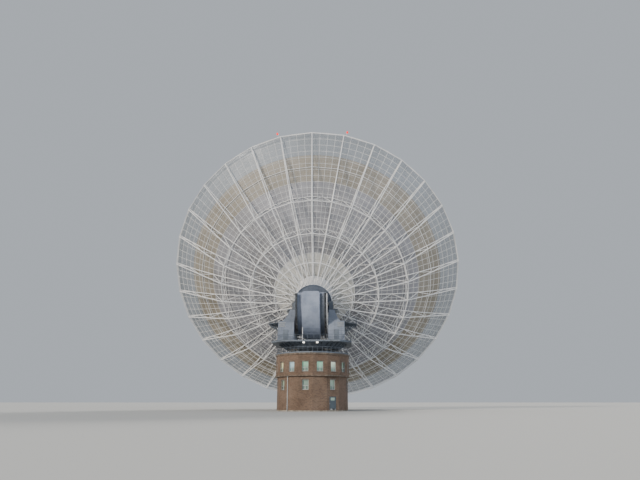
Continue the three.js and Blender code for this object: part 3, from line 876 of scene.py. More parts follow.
    def inset_front(self, verts: list, width: float) -> None:
        """Insets the +X face of a box that was just made, and sets its middle back in.

        Args:
            verts: the box's vertices.
            width: how wide the border is that stays.
        """
        far = max(vert.co.x for vert in verts) - 1e-6
        faces = {face for vert in verts for face in vert.link_faces}
        front = [face for face in faces if all(vert.co.x > far for vert in face.verts)]
        bmesh.ops.inset_region(self.bm, faces=front, thickness=width, depth=0.0)
        middle = list({vert for face in front for vert in face.verts})
        bmesh.ops.translate(self.bm, verts=middle, vec=(-0.008, 0, 0))

    def half_of(self, sign: int) -> "Shape":
        """A new shape with only what lies on one side of X = 0.

        Args:
            sign: 1 for the +X side, -1 for the other.

        Returns:
            The new shape.
        """
        other = Shape(self.place)
        other.bm.free()
        other.bm = self.bm.copy()
        other.layer = other.bm.verts.layers.int["stamp"]
        away = [vert for vert in other.bm.verts if vert.co.x * sign < 0]
        bmesh.ops.delete(other.bm, geom=away, context="VERTS")
        return other

    def mirrored(self, mark: int = 0) -> None:
        """Adds the mirror image in X of what was made since a mark.

        Args:
            mark: the mark; 0 mirrors everything.
        """
        made = bmesh.ops.duplicate(self.bm, geom=self.geometry(mark))["geom"]
        verts = [item for item in made if isinstance(item, BMVert)]
        faces = [item for item in made if isinstance(item, BMFace)]
        bmesh.ops.scale(self.bm, verts=verts, vec=(-1, 1, 1))
        bmesh.ops.reverse_faces(self.bm, faces=faces)

    def finish(
        self,
        name: str,
        body: str,
        slot: str,
        metal: Metal,
        replaces: Sequence[str] = (),
        smooth: bool = False,
    ) -> Object:
        """Turns the mesh into a piece of the object.

        Args:
            name: the piece's name.
            body: the CAD body that it rides on.
            slot: the record's material slot; not used.
            metal: its finish.
            replaces: CAD nodes that it stands for.
            smooth: whether its faces are shaded smooth.

        Returns:
            The piece.
        """
        bmesh.ops.remove_doubles(self.bm, verts=self.bm.verts[:], dist=1e-5)
        bmesh.ops.transform(self.bm, matrix=self.place.matrix, verts=self.bm.verts[:])
        bmesh.ops.recalc_face_normals(self.bm, faces=self.bm.faces[:])
        mesh = bpy.data.meshes.new(name)
        self.bm.to_mesh(mesh)
        self.bm.free()
        if smooth:
            mesh.shade_smooth()
        piece = bpy.data.objects.new(name, mesh)
        bpy.context.scene.collection.objects.link(piece)
        mesh.materials.append(metal.material)
        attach(piece, body)
        if replaces:
            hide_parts(*replaces)
        log.info("%s: %d faces", name, len(mesh.polygons))
        return piece


@dataclass
class Reflector:
    """The dish's surface and the lattice that carries it, in the frame of the dish's own axis."""

    vertex: float = 6.62
    focal_length: float = 26.0
    rim: float = 32.0
    rim_drop: float = 0.75
    ribs: int = 30
    hub: float = 3.6
    hub_rear: float = 1.45
    skin: float = 0.03
    gore_steps: int = 120
    zones: tuple = (
        ("inner_panels", 0.0, 8.4, Metal.SOLID, "solid_panel"),
        ("middle_panels", 8.4, 22.5, Metal.PERFORATED, "perforated_panel"),
        ("outer_panels", 22.5, 27.5, Metal.PERFORATED_OUTER, "perforated_panel"),
        ("rim_mesh", 27.5, 31.9, Metal.MESH, "mesh_panel"),
    )
    lower_chord: tuple = ((3.6, 1.55), (4.6, 1.55), (13.36, 4.42), (19.6, 6.46), (31.9, 15.45))
    lower_nodes: tuple = (4.1, 8.4, 13.36, 19.6, 25.3, 31.6)
    upper_nodes: tuple = (6.6, 10.9, 16.5, 22.5, 28.6)
    rings: tuple = (("first_ring", 7.9), ("second_ring", 13.36), ("third_ring", 19.6))
    posts: tuple = (8.4, 13.36, 19.6, 25.3)
    rib_end: float = 31.85
    sheet_end: float = 31.9
    rim_seat: float = 31.86
    chord_radius: float = 0.1
    web_radius: float = 0.065
    purlin_pitch: float = 1.15
    purlin_half: float = 0.035
    lamp_angle: float = math.radians(13)

    def surface(self, radius: float) -> float:
        """Height of the reflecting surface at a radius."""
        return self.vertex + radius**2 / (4 * self.focal_length)

    def lower(self, radius: float) -> float:
        """Height of the ribs' rear chord.

        Args:
            radius: how far from the dish's axis.

        Returns:
            The height over the elevation axis.
        """
        for (r0, z0), (r1, z1) in zip(self.lower_chord, self.lower_chord[1:]):
            if radius <= r1:
                break
        return z0 + (z1 - z0) * (radius - r0) / (r1 - r0)

    def upper(self, radius: float) -> float:
        """Height of the ribs' front chord, just under the purlins."""
        return self.surface(radius) - self.skin - 2 * self.purlin_half - self.chord_radius

    def radii(self, start: float, end: float, pitch: float) -> list[float]:
        """Evenly spaced radii from start to end, about a pitch apart."""
        count = max(1, round((end - start) / pitch))
        return [start + (end - start) * i / count for i in range(count + 1)]

    def build_skin(self) -> None:
        """The four zones of sheet, as thin shells."""
        for name, inner, outer, metal, slot in self.zones:
            shape = Shape(Place.DISH)
            radii = self.radii(inner, outer, 1.2)
            front = [(radius, self.surface(radius)) for radius in radii]
            rear = [(radius, self.surface(radius) - self.skin) for radius in reversed(radii)]
            shape.spun(front + rear, self.gore_steps, closed=inner > 0)
            shape.finish(f"{name}_sheet", "dish", slot, metal, [name])

    def build_purlins(self) -> None:
        """Rings and radial bars behind the sheet, which make its net of lines."""
        shape = Shape(Place.DISH)
        half = self.purlin_half
        for radius in self.radii(self.posts[0], self.rib_end, self.purlin_pitch):
            top = self.surface(radius) - self.skin
            inner, outer, low = radius - half, radius + half, top - 2 * half
            shape.spun(rectangle((inner, outer), (low, top)), self.gore_steps)
        shape.finish("ring_purlins", "dish", "structure_paint", Metal.STRUCTURE)
        shape = Shape(Place.DISH)
        start = shape.mark()
        for offset in range(1, 4):
            inner = self.posts[1] if offset != 2 else self.posts[0]
            mark = shape.mark()
            radii = self.radii(inner, self.sheet_end, 2.4)
            shape.chain([(0, -r, self.surface(r) - self.skin - half) for r in radii], half * 1.1, 4)
            shape.turn(mark, math.radians(3 * offset))
        shape.copies_round(start, self.ribs, math.tau / self.ribs)
        shape.finish("radial_purlins", "dish", "structure_paint", Metal.STRUCTURE)

    def rib_bars(self, shape: Shape) -> None:
        """One rib on the -Y side: two chords and the web between them.

        Args:
            shape: where it goes.
        """
        root, end = self.hub + 0.06, self.rib_end
        breaks = [r for r, _ in self.lower_chord[1:-1]]
        lower = [(0, -r, self.lower(r)) for r in [root, *breaks, end]]
        upper = [(0, -r, self.upper(r)) for r in self.radii(root, end, 2.6)]
        shape.chain(lower, self.chord_radius, 6)
        shape.chain(upper, self.chord_radius, 6)
        web = []
        for i, low in enumerate(self.lower_nodes):
            web.append((0, -low, self.lower(low)))
            if i < len(self.upper_nodes):
                high = self.upper_nodes[i]
                web.append((0, -high, self.upper(high)))
        shape.chain(web, self.web_radius, 6)
        for radius in self.posts:
            shape.bar(
                (0, -radius, self.lower(radius)), (0, -radius, self.upper(radius)), self.web_radius * 0.8, 6
            )
        shape.bar((0, -root, self.lower(root)), (0, -root, self.upper(root)), self.chord_radius, 6)

    def build_ribs(self) -> None:
        """The thirty ribs, in the six groups that are bolted on together."""
        step = math.tau / self.ribs
        names = ("top", "upper_right", "lower_right", "bottom", "lower_left", "upper_left")
        for index, name in enumerate(names):
            shape = Shape(Place.DISH)
            start = shape.mark()
            self.rib_bars(shape)
            shape.copies_round(start, 5, step)
            self.flange(shape)
            shape.turn(start, index * math.tau / 6 - 2 * step)
            shape.finish(f"rib_trusses_{name}", "dish", "structure_paint", Metal.STRUCTURE, [f"ribs_{name}"])

    def flange(self, shape: Shape) -> None:
        """The plates that bolt five ribs to the hub, from the first rib round.

        Args:
            shape: where they go.
        """
        step = math.tau / self.ribs
        outer = self.hub + 0.1
        half = outer * math.sin(step / 2) * 0.99
        across = math.cos(step / 2)
        start = shape.mark()
        shape.box(
            (-half, half), (-outer * across - 0.01, -self.hub * across - 0.01), (self.hub_rear + 0.01, 6.3)
        )
        shape.copies_round(start, 5, step)

    def build_hub(self) -> None:
        """A bolted lip round the drum's rear edge."""
        shape = Shape(Place.DISH)
        edge, rear = self.hub, self.hub_rear
        inner, outer, low = edge - 0.05, edge + 0.1, rear - 0.09
        lip = [(inner, low), (edge + 0.08, low), (outer, rear - 0.07), (outer, rear), (inner, rear)]
        shape.spun(lip, 120)
        start = shape.mark()
        shape.bar((0, -edge - 0.03, rear - 0.15), (0, -edge - 0.03, rear - 0.05), 0.035, 6)
        shape.copies_round(start, 72, math.tau / 72)
        shape.finish("hub_lip", "dish", "cladding_paint", Metal.CLADDING)

    def build_rings(self) -> None:
        """The rings behind the ribs, and the slanting bars from them to the surface between the ribs."""
        step = math.tau / self.ribs
        for name, radius in self.rings:
            shape = Shape(Place.DISH)
            start = shape.mark()
            here = Vector((0, -radius, self.lower(radius) - 0.05))
            there = Matrix.Rotation(step, 3, "Z") @ here
            shape.bar(here, there, self.chord_radius * 0.95, 6)
            if radius > 10:
                middle = Matrix.Rotation(step / 2, 3, "Z") @ Vector((0, -radius, self.upper(radius) + 0.06))
                shape.bar(here, middle, self.web_radius * 0.85, 5)
                shape.bar(there, middle, self.web_radius * 0.85, 5)
            shape.copies_round(start, self.ribs, step)
            shape.finish(f"{name}_truss", "dish", "structure_paint", Metal.STRUCTURE, [name])
        shape = Shape(Place.DISH)
        start = shape.mark()
        for radius in self.posts[1:]:
            here = Vector((0, -radius, self.upper(radius)))
            shape.bar(here, Matrix.Rotation(step, 3, "Z") @ here, self.chord_radius * 0.8, 6)
        shape.copies_round(start, self.ribs, step)
        shape.finish("front_rings", "dish", "structure_paint", Metal.STRUCTURE, ["fourth_ring"])

    def build_rim(self) -> None:
        """Two tubes round the edge, with posts and zigzag bars between them."""
        shape = Shape(Place.DISH)
        step = math.tau / self.ribs
        start = shape.mark()
        radius = self.rim - 0.09
        top = self.surface(self.rim_seat) - 0.06
        high = Vector((0, -radius, top))
        low = Vector((0, -radius, top - self.rim_drop))
        next_high = Matrix.Rotation(step, 3, "Z") @ high
        next_low = Matrix.Rotation(step, 3, "Z") @ low
        shape.bar(high, next_high, 0.085, 8)
        shape.bar(low, next_low, 0.07, 8)
        shape.bar(low, high, 0.06, 6)
        middle = (high + next_high) / 2
        for point in (low, next_low):
            shape.bar(point, middle, 0.04, 5)
        shape.copies_round(start, self.ribs, step)
        shape.finish("rim_truss", "dish", "structure_paint", Metal.STRUCTURE, ["rim"])

    def build_lamps(self) -> None:
        """Two red warning lamps that stand out from the top of the rim."""
        posts, glass = Shape(Place.DISH), Shape(Place.DISH)
        outward = Matrix.Rotation(math.pi / 2, 4, "X")
        matrix = Matrix.Translation((0, -self.rim + 0.05, self.surface(self.rim_seat) - 0.06)) @ outward
        for sign in (-1, 1):
            start, first = posts.mark(), glass.mark()
            posts.bar((0, 0, 0), (0, 0, 0.4), 0.05, 10)
            posts.spun([(0.0, 0.36), (0.2, 0.36), (0.22, 0.4), (0.22, 0.46), (0.0, 0.46)], 24, closed=False)
            glass.spun(
                [(0.0, 0.45), (0.19, 0.45), (0.19, 0.74), (0.15, 0.85), (0.08, 0.9), (0.0, 0.91)],
                24,
                closed=False,
            )
            for shape, mark in ((posts, start), (glass, first)):
                shape.moved(mark, matrix)
                shape.turn(mark, sign * self.lamp_angle)
        posts.finish("rim_lamp_posts", "dish", "structure_paint", Metal.STRUCTURE)
        glass.finish("rim_lamp_glasses", "dish", "structure_paint", Metal.WARNING, smooth=True)

    def build(self) -> None:
        """Builds the whole reflector."""
        self.build_skin()
        self.build_purlins()
        self.build_hub()
        self.build_ribs()
        self.build_rings()
        self.build_rim()
        self.build_lamps()


@dataclass
class Tower:
    """The round building's fittings: windows, door, walkway rail and track."""

    sides: int = 16
    lower_radius: float = 6.6
    upper_radius: float = 6.9
    window: tuple = (1.15, 1.7)
    middle_sill: float = 3.65
    top_sill: float = 6.77
    deck: tuple = (9.7, 10.1)
    deck_radius: float = 7.05
    railing_radius: float = 6.83
    railing_height: float = 1.0
    track_wall: tuple = (3.9, 4.75, 10.1, 10.25)
    rail: tuple = (4.15, 4.45, 10.25, 10.4)
    door_facet: int = 1
    middle_floor: float = 5.95
    downpipe: tuple = (-2, -0.95)
    leaf: tuple = (6.343, 6.423, -0.73, 0.72, 0.22, 2.48)

    def facet_angle(self, facet: float) -> float:
        """Where a facet's middle lies, as an angle from +X."""
        return -math.pi / 2 + (facet + 0.5) * math.tau / self.sides

    def face(self, radius: float) -> float:
        """How far a wall's flat face is from the middle."""
        return radius * math.cos(math.pi / self.sides)

    def windows(self) -> Iterable[tuple[int, float, float]]:
        """All the windows of the two upper storeys.

        Yields:
            Each window's facet, wall radius and sill height.
        """
        for facet in range(self.sides):
            yield facet, self.upper_radius, self.top_sill
            if facet % 2:
                yield facet, self.lower_radius, self.middle_sill

    def build_windows(self) -> None:
        """Steel frames with a transom and a mullion, and a cast sill and lintel to each opening."""
        frames, sills = Shape(Place.TOWER), Shape(Place.TOWER)
        width, height = self.window
        half, bar = width / 2, 0.07
        for facet, radius, sill in self.windows():
            face = self.face(radius)
            depth = (face - 0.2, face - 0.12)
            top = sill + height
            start, first = frames.mark(), sills.mark()
            for side in (-1, 1):
                edge = sorted((side * half, side * (half - bar)))
                frames.box(depth, edge, (sill, top), 0.008)
            for level in (sill, top - bar, sill + 0.36 * height):
                frames.box(depth, (bar - half, half - bar), (level, level + bar), 0.008)
            frames.box(depth, (-bar / 2, bar / 2), (sill + bar, sill + 0.36 * height), 0.008)
            sills.box(
                (face - 0.12, face + 0.09), (-half - 0.1, half + 0.1), (sill - 0.09, sill - 0.002), 0.012
            )
            sills.box(
                (face - 0.05, face + 0.02), (-half - 0.15, half + 0.15), (top + 0.002, top + 0.22), 0.01
            )
            frames.turn(start, self.facet_angle(facet))
            sills.turn(first, self.facet_angle(facet))
        frames.finish("window_frames", "tower", "railing_paint", Metal.RAILING)
        sills.finish("window_sills_and_lintels", "tower", "concrete", Metal.LEDGE)

    def build_door(self) -> None:
        """Raised panels, a kick plate, a small pane and a lever on the door's leaf."""
        _, face, left, right, low, _ = self.leaf
        angle = self.facet_angle(self.door_facet)
        panels, fittings = Shape(Place.TOWER), Shape(Place.TOWER)
        for level in ((low + 0.35, low + 1.0), (low + 1.12, low + 1.5)):
            for side in ((left + 0.16, -0.06), (0.06, right - 0.16)):
                verts = panels.box((face - 0.005, face + 0.014), side, level)
                panels.inset_front(verts, 0.05)
        panels.turn(0, angle)
        panels.finish("door_panels", "door", "door_paint", Metal.DOOR)
        fittings.box(
            (face - 0.004, face + 0.008), (left + 0.05, right - 0.08), (low + 0.03, low + 0.26), 0.003
        )
        fittings.box((face - 0.002, face + 0.012), (left + 0.06, left + 0.12), (low + 0.98, low + 1.2), 0.004)
        fittings.bar((face, left + 0.09, low + 1.1), (face + 0.07, left + 0.09, low + 1.1), 0.014, 10)
        fittings.bar((face + 0.06, left + 0.08, low + 1.1), (face + 0.06, left + 0.24, low + 1.1), 0.013, 10)
        fittings.turn(0, angle)
        fittings.finish("door_lever_and_plates", "door", "rail_steel", Metal.SHAFT)
        pane = Shape(Place.TOWER)
        pane.box((face - 0.004, face + 0.006), (left + 0.3, right - 0.3), (low + 1.62, low + 2.1), 0.002)
        pane.turn(0, angle)
        pane.finish("door_pane", "door", "window_glass", Metal.GLASS)

    def build_railing(self) -> None:
        """Tubes round the walkway: posts, three rails and a toe board."""
        shape = Shape(Place.TOWER)
        step = math.tau / self.sides
        deck, radius = self.deck[1], self.railing_radius
        a = Vector((0, -radius, 0))
        b = Matrix.Rotation(step, 3, "Z") @ a
        for height, thickness in HANDRAIL:
            level = Vector((0, 0, deck + height * self.railing_height - thickness))
            shape.bar(a + level, b + level, thickness, 8)
        for share in (0.0, 1 / 3, 2 / 3):
            foot = a.lerp(b, share) + Vector((0, 0, deck))
            shape.bar(foot, foot + Vector((0, 0, self.railing_height - 0.03)), 0.028, 8)
        start = shape.mark()
        middle = (a + b) / 2
        length = (b - a).length
        y = -middle.length
        shape.box((-length / 2, length / 2), (y - 0.006, y + 0.006), (deck + 0.001, deck + 0.13))
        shape.turn(start, step / 2)
        shape.copies_round(0, self.sides, step)
        shape.finish("walkway_rails", "tower", "railing_paint", Metal.TURRET, ["walkway_railing"])

    def build_downpipe(self) -> None:
        """A rainwater pipe on the rear wall, with its hopper, brackets and shoe."""
        shape = Shape(Place.TOWER)
        out = self.face(self.lower_radius) + 0.1
        facet, across = self.downpipe
        top = self.middle_floor - 0.12
        shape.chain([(out, across, top), (out, across, 0.35), (out + 0.16, across, 0.14)], 0.065, 12)
        shape.box((out - 0.1, out + 0.1), (across - 0.14, across + 0.14), (top - 0.02, top + 0.1), 0.02)
        for level in (1.0, 2.4, 3.8, 5.2):
            shape.box((out - 0.11, out + 0.08), (across - 0.09, across + 0.09), (level, level + 0.05), 0.01)
        shape.turn(0, self.facet_angle(facet))
        shape.finish("downpipe", "tower", "railing_paint", Metal.RAILING)

    def build_deck_edge(self) -> None:
        """A steel angle round the top of the roof slab, with a drip edge."""
        shape = Shape(Place.TOWER)
        high = self.deck[1]
        low = high - 0.12
        radius = self.deck_radius
        inner, middle = radius - 0.14, radius - 0.02
        drip = [(middle, low), (radius + 0.03, low), (radius + 0.02, high + 0.02)]
        shape.spun(drip + [(inner, high + 0.02), (inner, high - 0.005), (middle, high - 0.005)], self.sides)
        shape.finish("roof_edge_angle", "tower", "railing_paint", Metal.TURRET)

    def build_track(self) -> None:
        """The rail on its ring wall, held by clips."""
        inner, outer, low, high = self.track_wall
        wall = Shape(Place.TOWER)
        soft = 0.03
        wall.spun(
            [
                (inner, low),
                (outer, low),
                (outer, high - soft),
                (outer - soft, high),
                (inner + soft, high),
                (inner, high - soft),
            ],
            96,
        )
        wall.finish("track_ring_wall", "tower", "concrete", Metal.CONCRETE, ["track_wall"])
        inner, outer, low, high = self.rail
        rail = Shape(Place.TOWER)
        rail.spun(
            [
                (inner, low),
                (outer, low),
                (outer, low + 0.03),
                (outer - 0.1, low + 0.05),
                (outer - 0.1, high - 0.07),
                (outer - 0.06, high - 0.05),
                (outer - 0.06, high - 0.015),
                (outer - 0.075, high),
                (inner + 0.075, high),
                (inner + 0.06, high - 0.015),
                (inner + 0.06, high - 0.05),
                (inner + 0.1, high - 0.07),
                (inner + 0.1, low + 0.05),
                (inner, low + 0.03),
            ],
            120,
        )
        rail.finish("azimuth_rail_head", "tower", "rail_steel", Metal.RAIL, ["azimuth_rail"])
        clips = Shape(Place.TOWER)
        for radius in (inner - 0.03, outer + 0.03):
            clips.box((radius - 0.07, radius + 0.07), (-0.08, 0.08), (low, low + 0.05), 0.01)
            clips.bar((radius, 0, low + 0.04), (radius, 0, low + 0.1), 0.03, 6)
        clips.copies_round(0, 60, math.tau / 60)
        clips.finish("rail_clips", "tower", "rail_steel", Metal.RAIL)

    def build(self) -> None:
        """Builds all of the tower's fittings."""
        self.build_windows()
        self.build_door()
        self.build_railing()
        self.build_downpipe()
        self.build_deck_edge()
        self.build_track()


@dataclass
class Turret:
    """The turning part above the track: deck, plated housings, side platforms and bearings."""

    deck_half: tuple = (7.4, 6.4)
    deck_corner: float = 2.2
    deck: tuple = (12.0, 12.25)
    skirt: tuple = (5.0, 11.0, 6.3, 12.0)
    housing_x: tuple = (3.15, 6.15)
    rear_slope: tuple = ((-5.6, 12.25), (-4.6, 15.9), (-1.8, 18.5))
    front_slope: tuple = ((5.0, 12.25), (3.0, 15.9), (1.8, 18.5))
    platform: tuple = (15.9, 0.12, 8.57)
    platform_ends: tuple = (-3.0, -0.6, 3.0)
    brackets: tuple = (-0.5, 0.9, 2.3)
    bracket_drop: float = 1.3
    bearing: tuple = (3.2, 4.0, 0.72)
    bearing_foot: float = 18.64
    step: tuple = (4.2, 5.2, 1.3, 18.49)
    rail_middle: float = 4.3
    wheel: tuple = (0.28, 0.1, 0.55)
    rail_top: float = 10.4
    post: tuple = (-1.5, -6.1)

    def deck_outline(self, inset: float) -> list[Vector]:
        """Corners of the deck.

        Args:
            inset: how far in from the edge they are.

        Returns:
            The eight corners in order.
        """
        w, d = (half - inset for half in self.deck_half)
        c = self.deck_corner - inset * (2 - math.sqrt(2))
        quarter = [(w, c - d), (w, d - c), (w - c, d)]
        half = quarter + [(c - w, d)]
        return [Vector((x, y, 0)) for x, y in half] + [Vector((-x, -y, 0)) for x, y in half]

    def fence(self, shape: Shape, corners: Sequence[Vector], level: float, closed: bool = True) -> None:
        """A handrail along a run of corners.

        Args:
            shape: where it goes.
            corners: its corners.
            level: height of what it stands on.
            closed: whether it comes back to its start.
        """
        pairs = zip(corners, [*corners[1:], corners[0]]) if closed else zip(corners, corners[1:])
        for a, b in pairs:
            for height, thickness in HANDRAIL:
                up = Vector((0, 0, level + height))
                shape.bar(a + up, b + up, thickness, 8)
            count = max(1, round((b - a).length / 1.2))
            for i in range(count + (not closed)):
                foot = a.lerp(b, i / count) + Vector((0, 0, level))
                shape.bar(foot, foot + Vector((0, 0, 1.0)), 0.028, 8)

    def build_deck(self) -> None:
        """Handrail, edge channel, and gussets under the skirt."""
        rails = Shape(Place.TURRET)
        low, level = self.deck
        self.fence(rails, self.deck_outline(0.12), level)
        rails.finish("deck_handrails", "turret", "turret_paint", Metal.TURRET)
        edge = Shape(Place.TURRET)
        corners = self.deck_outline(-0.01)
        for a, b in zip(corners, [*corners[1:], corners[0]]):
            for height in (level + 0.02, low):
                edge.bar(a + Vector((0, 0, height)), b + Vector((0, 0, height)), 0.035, 6)
        edge.finish("deck_edge_beads", "turret", "turret_paint", Metal.TURRET)
        gussets = Shape(Place.TURRET)
        low_radius, low, high_radius, high = self.skirt
        inner, top = low_radius + 0.02, high - 0.002
        corners = [(inner, low + 0.005), (high_radius + 0.3, top), (inner, top)]
        verts = [gussets.bm.verts.new((radius, -0.025, level)) for radius, level in corners]
        made = bmesh.ops.extrude_face_region(gussets.bm, geom=[gussets.bm.faces.new(verts)])["geom"]
        moved = [item for item in made if isinstance(item, BMVert)]
        bmesh.ops.translate(gussets.bm, verts=moved, vec=(0, 0.05, 0))
        gussets.copies_round(0, 36, math.tau / 36)
        gussets.finish("skirt_gussets", "turret", "turret_paint", Metal.TURRET)

    def slope_frame(self, points: Sequence[tuple[float, float]], front: bool) -> tuple[Matrix, float]:
        """A frame on a sloped face, with Z up along it and -Y out of it, and the face's length.

        Args:
            points: the face's foot and head, as Y and Z.
            front: whether the face looks to the front.

        Returns:
            The frame's matrix, and the length from foot to head.
        """
        (y0, z0), (y1, z1) = points
        lean = math.atan2(y1 - y0, z1 - z0)
        matrix = Matrix.Translation((0, y0, z0)) @ Matrix.Rotation(-lean, 4, "X")
        if front:
            matrix = matrix @ Matrix.Diagonal((1, -1, 1, 1))
        return matrix, math.hypot(y1 - y0, z1 - z0)

    def build_cladding(self) -> None:
        """Seams, ledges, louvres and a door on each housing."""
        seams, louvres, doors = Shape(Place.TURRET), Shape(Place.TURRET), Shape(Place.TURRET)
        inner, outer = self.housing_x
        for chain, front in ((self.rear_slope, False), (self.front_slope, True)):
            matrix, length = self.slope_frame(chain[:2], front)
            start = seams.mark()
            for i in range(6):
                x = inner + 0.04 + (outer - inner - 0.08) * i / 5
                seams.box((x - 0.025, x + 0.025), (-0.03, 0.01), (0.02, length - 0.02))
            for level in (0.06, length * 0.5, length - 0.06):
                seams.box((inner + 0.02, outer - 0.02), (-0.045, 0.01), (level - 0.035, level + 0.035))
            seams.moved(start, matrix)
            matrix, length = self.slope_frame(chain[1:], front)
            start = seams.mark()
            for x, top in ((inner + 0.05, 0.98), (3.9, 0.98), (4.6, 0.5)):
                seams.box((x - 0.025, x + 0.025), (-0.03, 0.01), (0.02, length * top))
            seams.moved(start, matrix)
        (rear_foot, foot), (rear_head, head), _ = self.rear_slope
        (fore_foot, _), (fore_head, _), _ = self.front_slope
        for y in (-4.4, -3.4, -2.4, -1.4, -0.4, 0.6, 1.6, 2.6):
            seams.box((outer - 0.01, outer + 0.03), (y - 0.025, y + 0.025), (foot + 0.02, head - 0.15))
        for level in (foot + 0.08, (foot + head) / 2):
            share = (level - foot) / (head - foot)
            rear = rear_foot + (rear_head - rear_foot) * share + 0.05
            fore = fore_foot + (fore_head - fore_foot) * share - 0.05
            seams.box((outer - 0.01, outer + 0.045), (rear, fore), (level - 0.035, level + 0.035))
        seams.mirrored()
        seams.finish("cladding_seams", "turret", "cladding_paint", Metal.CLADDING)
        matrix, _ = self.slope_frame(self.rear_slope[:2], False)
        for level in (2.68, 3.4):
            louvres.box((outer - 1.4, outer - 0.04), (-0.12, 0.0), (level, level + 0.07), 0.01)
        for level in (2.95, 3.08, 3.21):
            louvres.box((outer - 1.3, outer - 0.14), (-0.07, 0.0), (level, level + 0.04), 0.006)
        louvres.moved(0, matrix)
        louvres.mirrored()
        louvres.finish("louvres_and_ledges", "turret", "railing_paint", Metal.RAILING)
        doors.box((4.2, 5.1), (-0.07, 0.0), (0.08, 2.1), 0.015)
        doors.box((4.28, 5.02), (-0.09, -0.06), (1.15, 1.95), 0.01)
        doors.box((4.28, 5.02), (-0.09, -0.06), (0.2, 1.02), 0.01)
        doors.bar((4.33, -0.14, 1.05), (4.33, -0.14, 1.2), 0.02, 8)
        doors.bar((4.33, -0.14, 1.08), (4.33, -0.08, 1.08), 0.015, 8)
        doors.moved(0, matrix)
        doors.mirrored()
        doors.finish("housing_doors", "turret", "turret_paint", Metal.TURRET)

    def build_platforms(self) -> None:
        """Open grating on lattice brackets at each side, with handrails."""
        level, thickness, reach = self.platform
        rear, tip_rear, front = self.platform_ends
        inner = self.housing_x[1]
        deck = Shape(Place.TURRET)
        edge = 0.06
        top = level + thickness
        frame_top = top - 0.06
        lean = (tip_rear - rear) / (reach - inner)
        deck.bar((inner, rear + edge / 2, frame_top), (reach - edge / 2, tip_rear, frame_top), edge, 4)
        deck.box((inner, reach), (front - edge, front), (level, top), 0.008)
        deck.box((reach - edge, reach), (tip_rear, front - edge), (level, top), 0.008)
        count = 52
        for i in range(count):
            y = rear + edge + (front - rear - 2 * edge) * (i + 0.5) / count
            end = min(reach - edge, inner + (y - rear) / lean)
            if end - inner > 0.15:
                deck.box((inner, end), (y - 0.022, y + 0.022), (top - 0.06, top - 0.005))
        for x in (6.6, 7.2, 7.9):
            deck.box(
                (x - 0.03, x + 0.03), (rear + (x - inner) * lean + edge, front - edge), (level, top - 0.06)
            )
        for y in self.brackets:
            corner, tip = (inner, y, level - 0.03), (reach - 0.1, y, level - 0.03)
            foot = (inner, y, level - self.bracket_drop)
            deck.chain([foot, tip, corner], 0.055, 6)
            for share in (0.3, 0.6):
                high = Vector(corner).lerp(Vector(tip), share)
                low = Vector(foot).lerp(Vector(tip), share * 0.75)
                deck.bar(high, low, 0.035, 6)
                deck.bar(low, Vector(corner).lerp(Vector(tip), share - 0.3), 0.035, 6)
            deck.bar(foot, corner, 0.055, 6)
        deck.mirrored()
        for side, sign in (("left", -1), ("right", 1)):
            half = deck.half_of(sign)
            half.finish(
                f"platform_grating_{side}", "turret", "turret_paint", Metal.TURRET, [f"platform_{side}"]
            )
        deck.bm.free()
        rails = Shape(Place.TURRET)
        inset = 0.06
        corners = [
            Vector((inner + 0.05, rear + inset, 0)),
            Vector((reach - inset, tip_rear + inset, 0)),
            Vector((reach - inset, front - inset, 0)),
            Vector((inner + 0.05, front - inset, 0)),
        ]
        self.fence(rails, corners, top, closed=False)
        rails.mirrored()
        rails.finish("platform_handrails", "turret", "turret_paint", Metal.TURRET)

    def build_steps(self) -> None:
        """A small grated step on knee braces outside each bearing."""
        shape = Shape(Place.TURRET)
        inner, reach, half, top = self.step
        for y in (-half, half - 0.06):
            shape.box((inner, reach), (y, y + 0.06), (top - 0.1, top), 0.006)
        shape.box((reach - 0.06, reach), (0.06 - half, half - 0.06), (top - 0.1, top), 0.006)
        count = 24
        for i in range(count):
            y = 0.06 - half + (2 * half - 0.12) * (i + 0.5) / count
            shape.box((inner, reach - 0.06), (y - 0.018, y + 0.018), (top - 0.05, top - 0.005))
        for y in (-half + 0.05, 0.0, half - 0.05):
            shape.bar((reach - 0.08, y, top - 0.1), (inner + 0.28, y, top - 0.85), 0.035, 6)
        shape.mirrored()
        shape.finish("bearing_steps", "turret", "turret_paint", Metal.RAILING)

    def build_bearings(self) -> None:
        """Cap bolts and end covers on the elevation bearings."""
        shape = Shape(Place.TURRET)
        inner, outer, radius = self.bearing
        middle = Vector((0, 0, AXIS_HEIGHT))
        for i in range(12):
            spoke = Matrix.Rotation(math.tau * i / 12, 3, "X") @ Vector((0, 0, radius - 0.13))
            spot = middle + spoke
            shape.bar(spot + Vector((outer - 0.01, 0, 0)), spot + Vector((outer + 0.05, 0, 0)), 0.04, 6)
        for side in (-1, 1):
            for x in (inner + 0.2, outer - 0.2):
                y = 0.6 * side
                shape.bar((x, y, AXIS_HEIGHT + 0.3), (x, y, AXIS_HEIGHT + 0.56), 0.05, 6)
                y = 1.45 * side
                shape.bar((x, y, self.bearing_foot - 0.04), (x, y, self.bearing_foot + 0.08), 0.07, 6)
        start = shape.mark()
        shape.spun([(0.47, 0.0), (0.62, 0.0), (0.62, 0.05), (0.58, 0.07), (0.47, 0.07)], 40)
        shape.moved(
            start, Matrix.Translation((outer - 0.005, 0, AXIS_HEIGHT)) @ Matrix.Rotation(math.pi / 2, 4, "Y")
        )
        shape.mirrored()
        shape.finish("bearing_bolts_and_covers", "turret", "rail_steel", Metal.SHAFT)

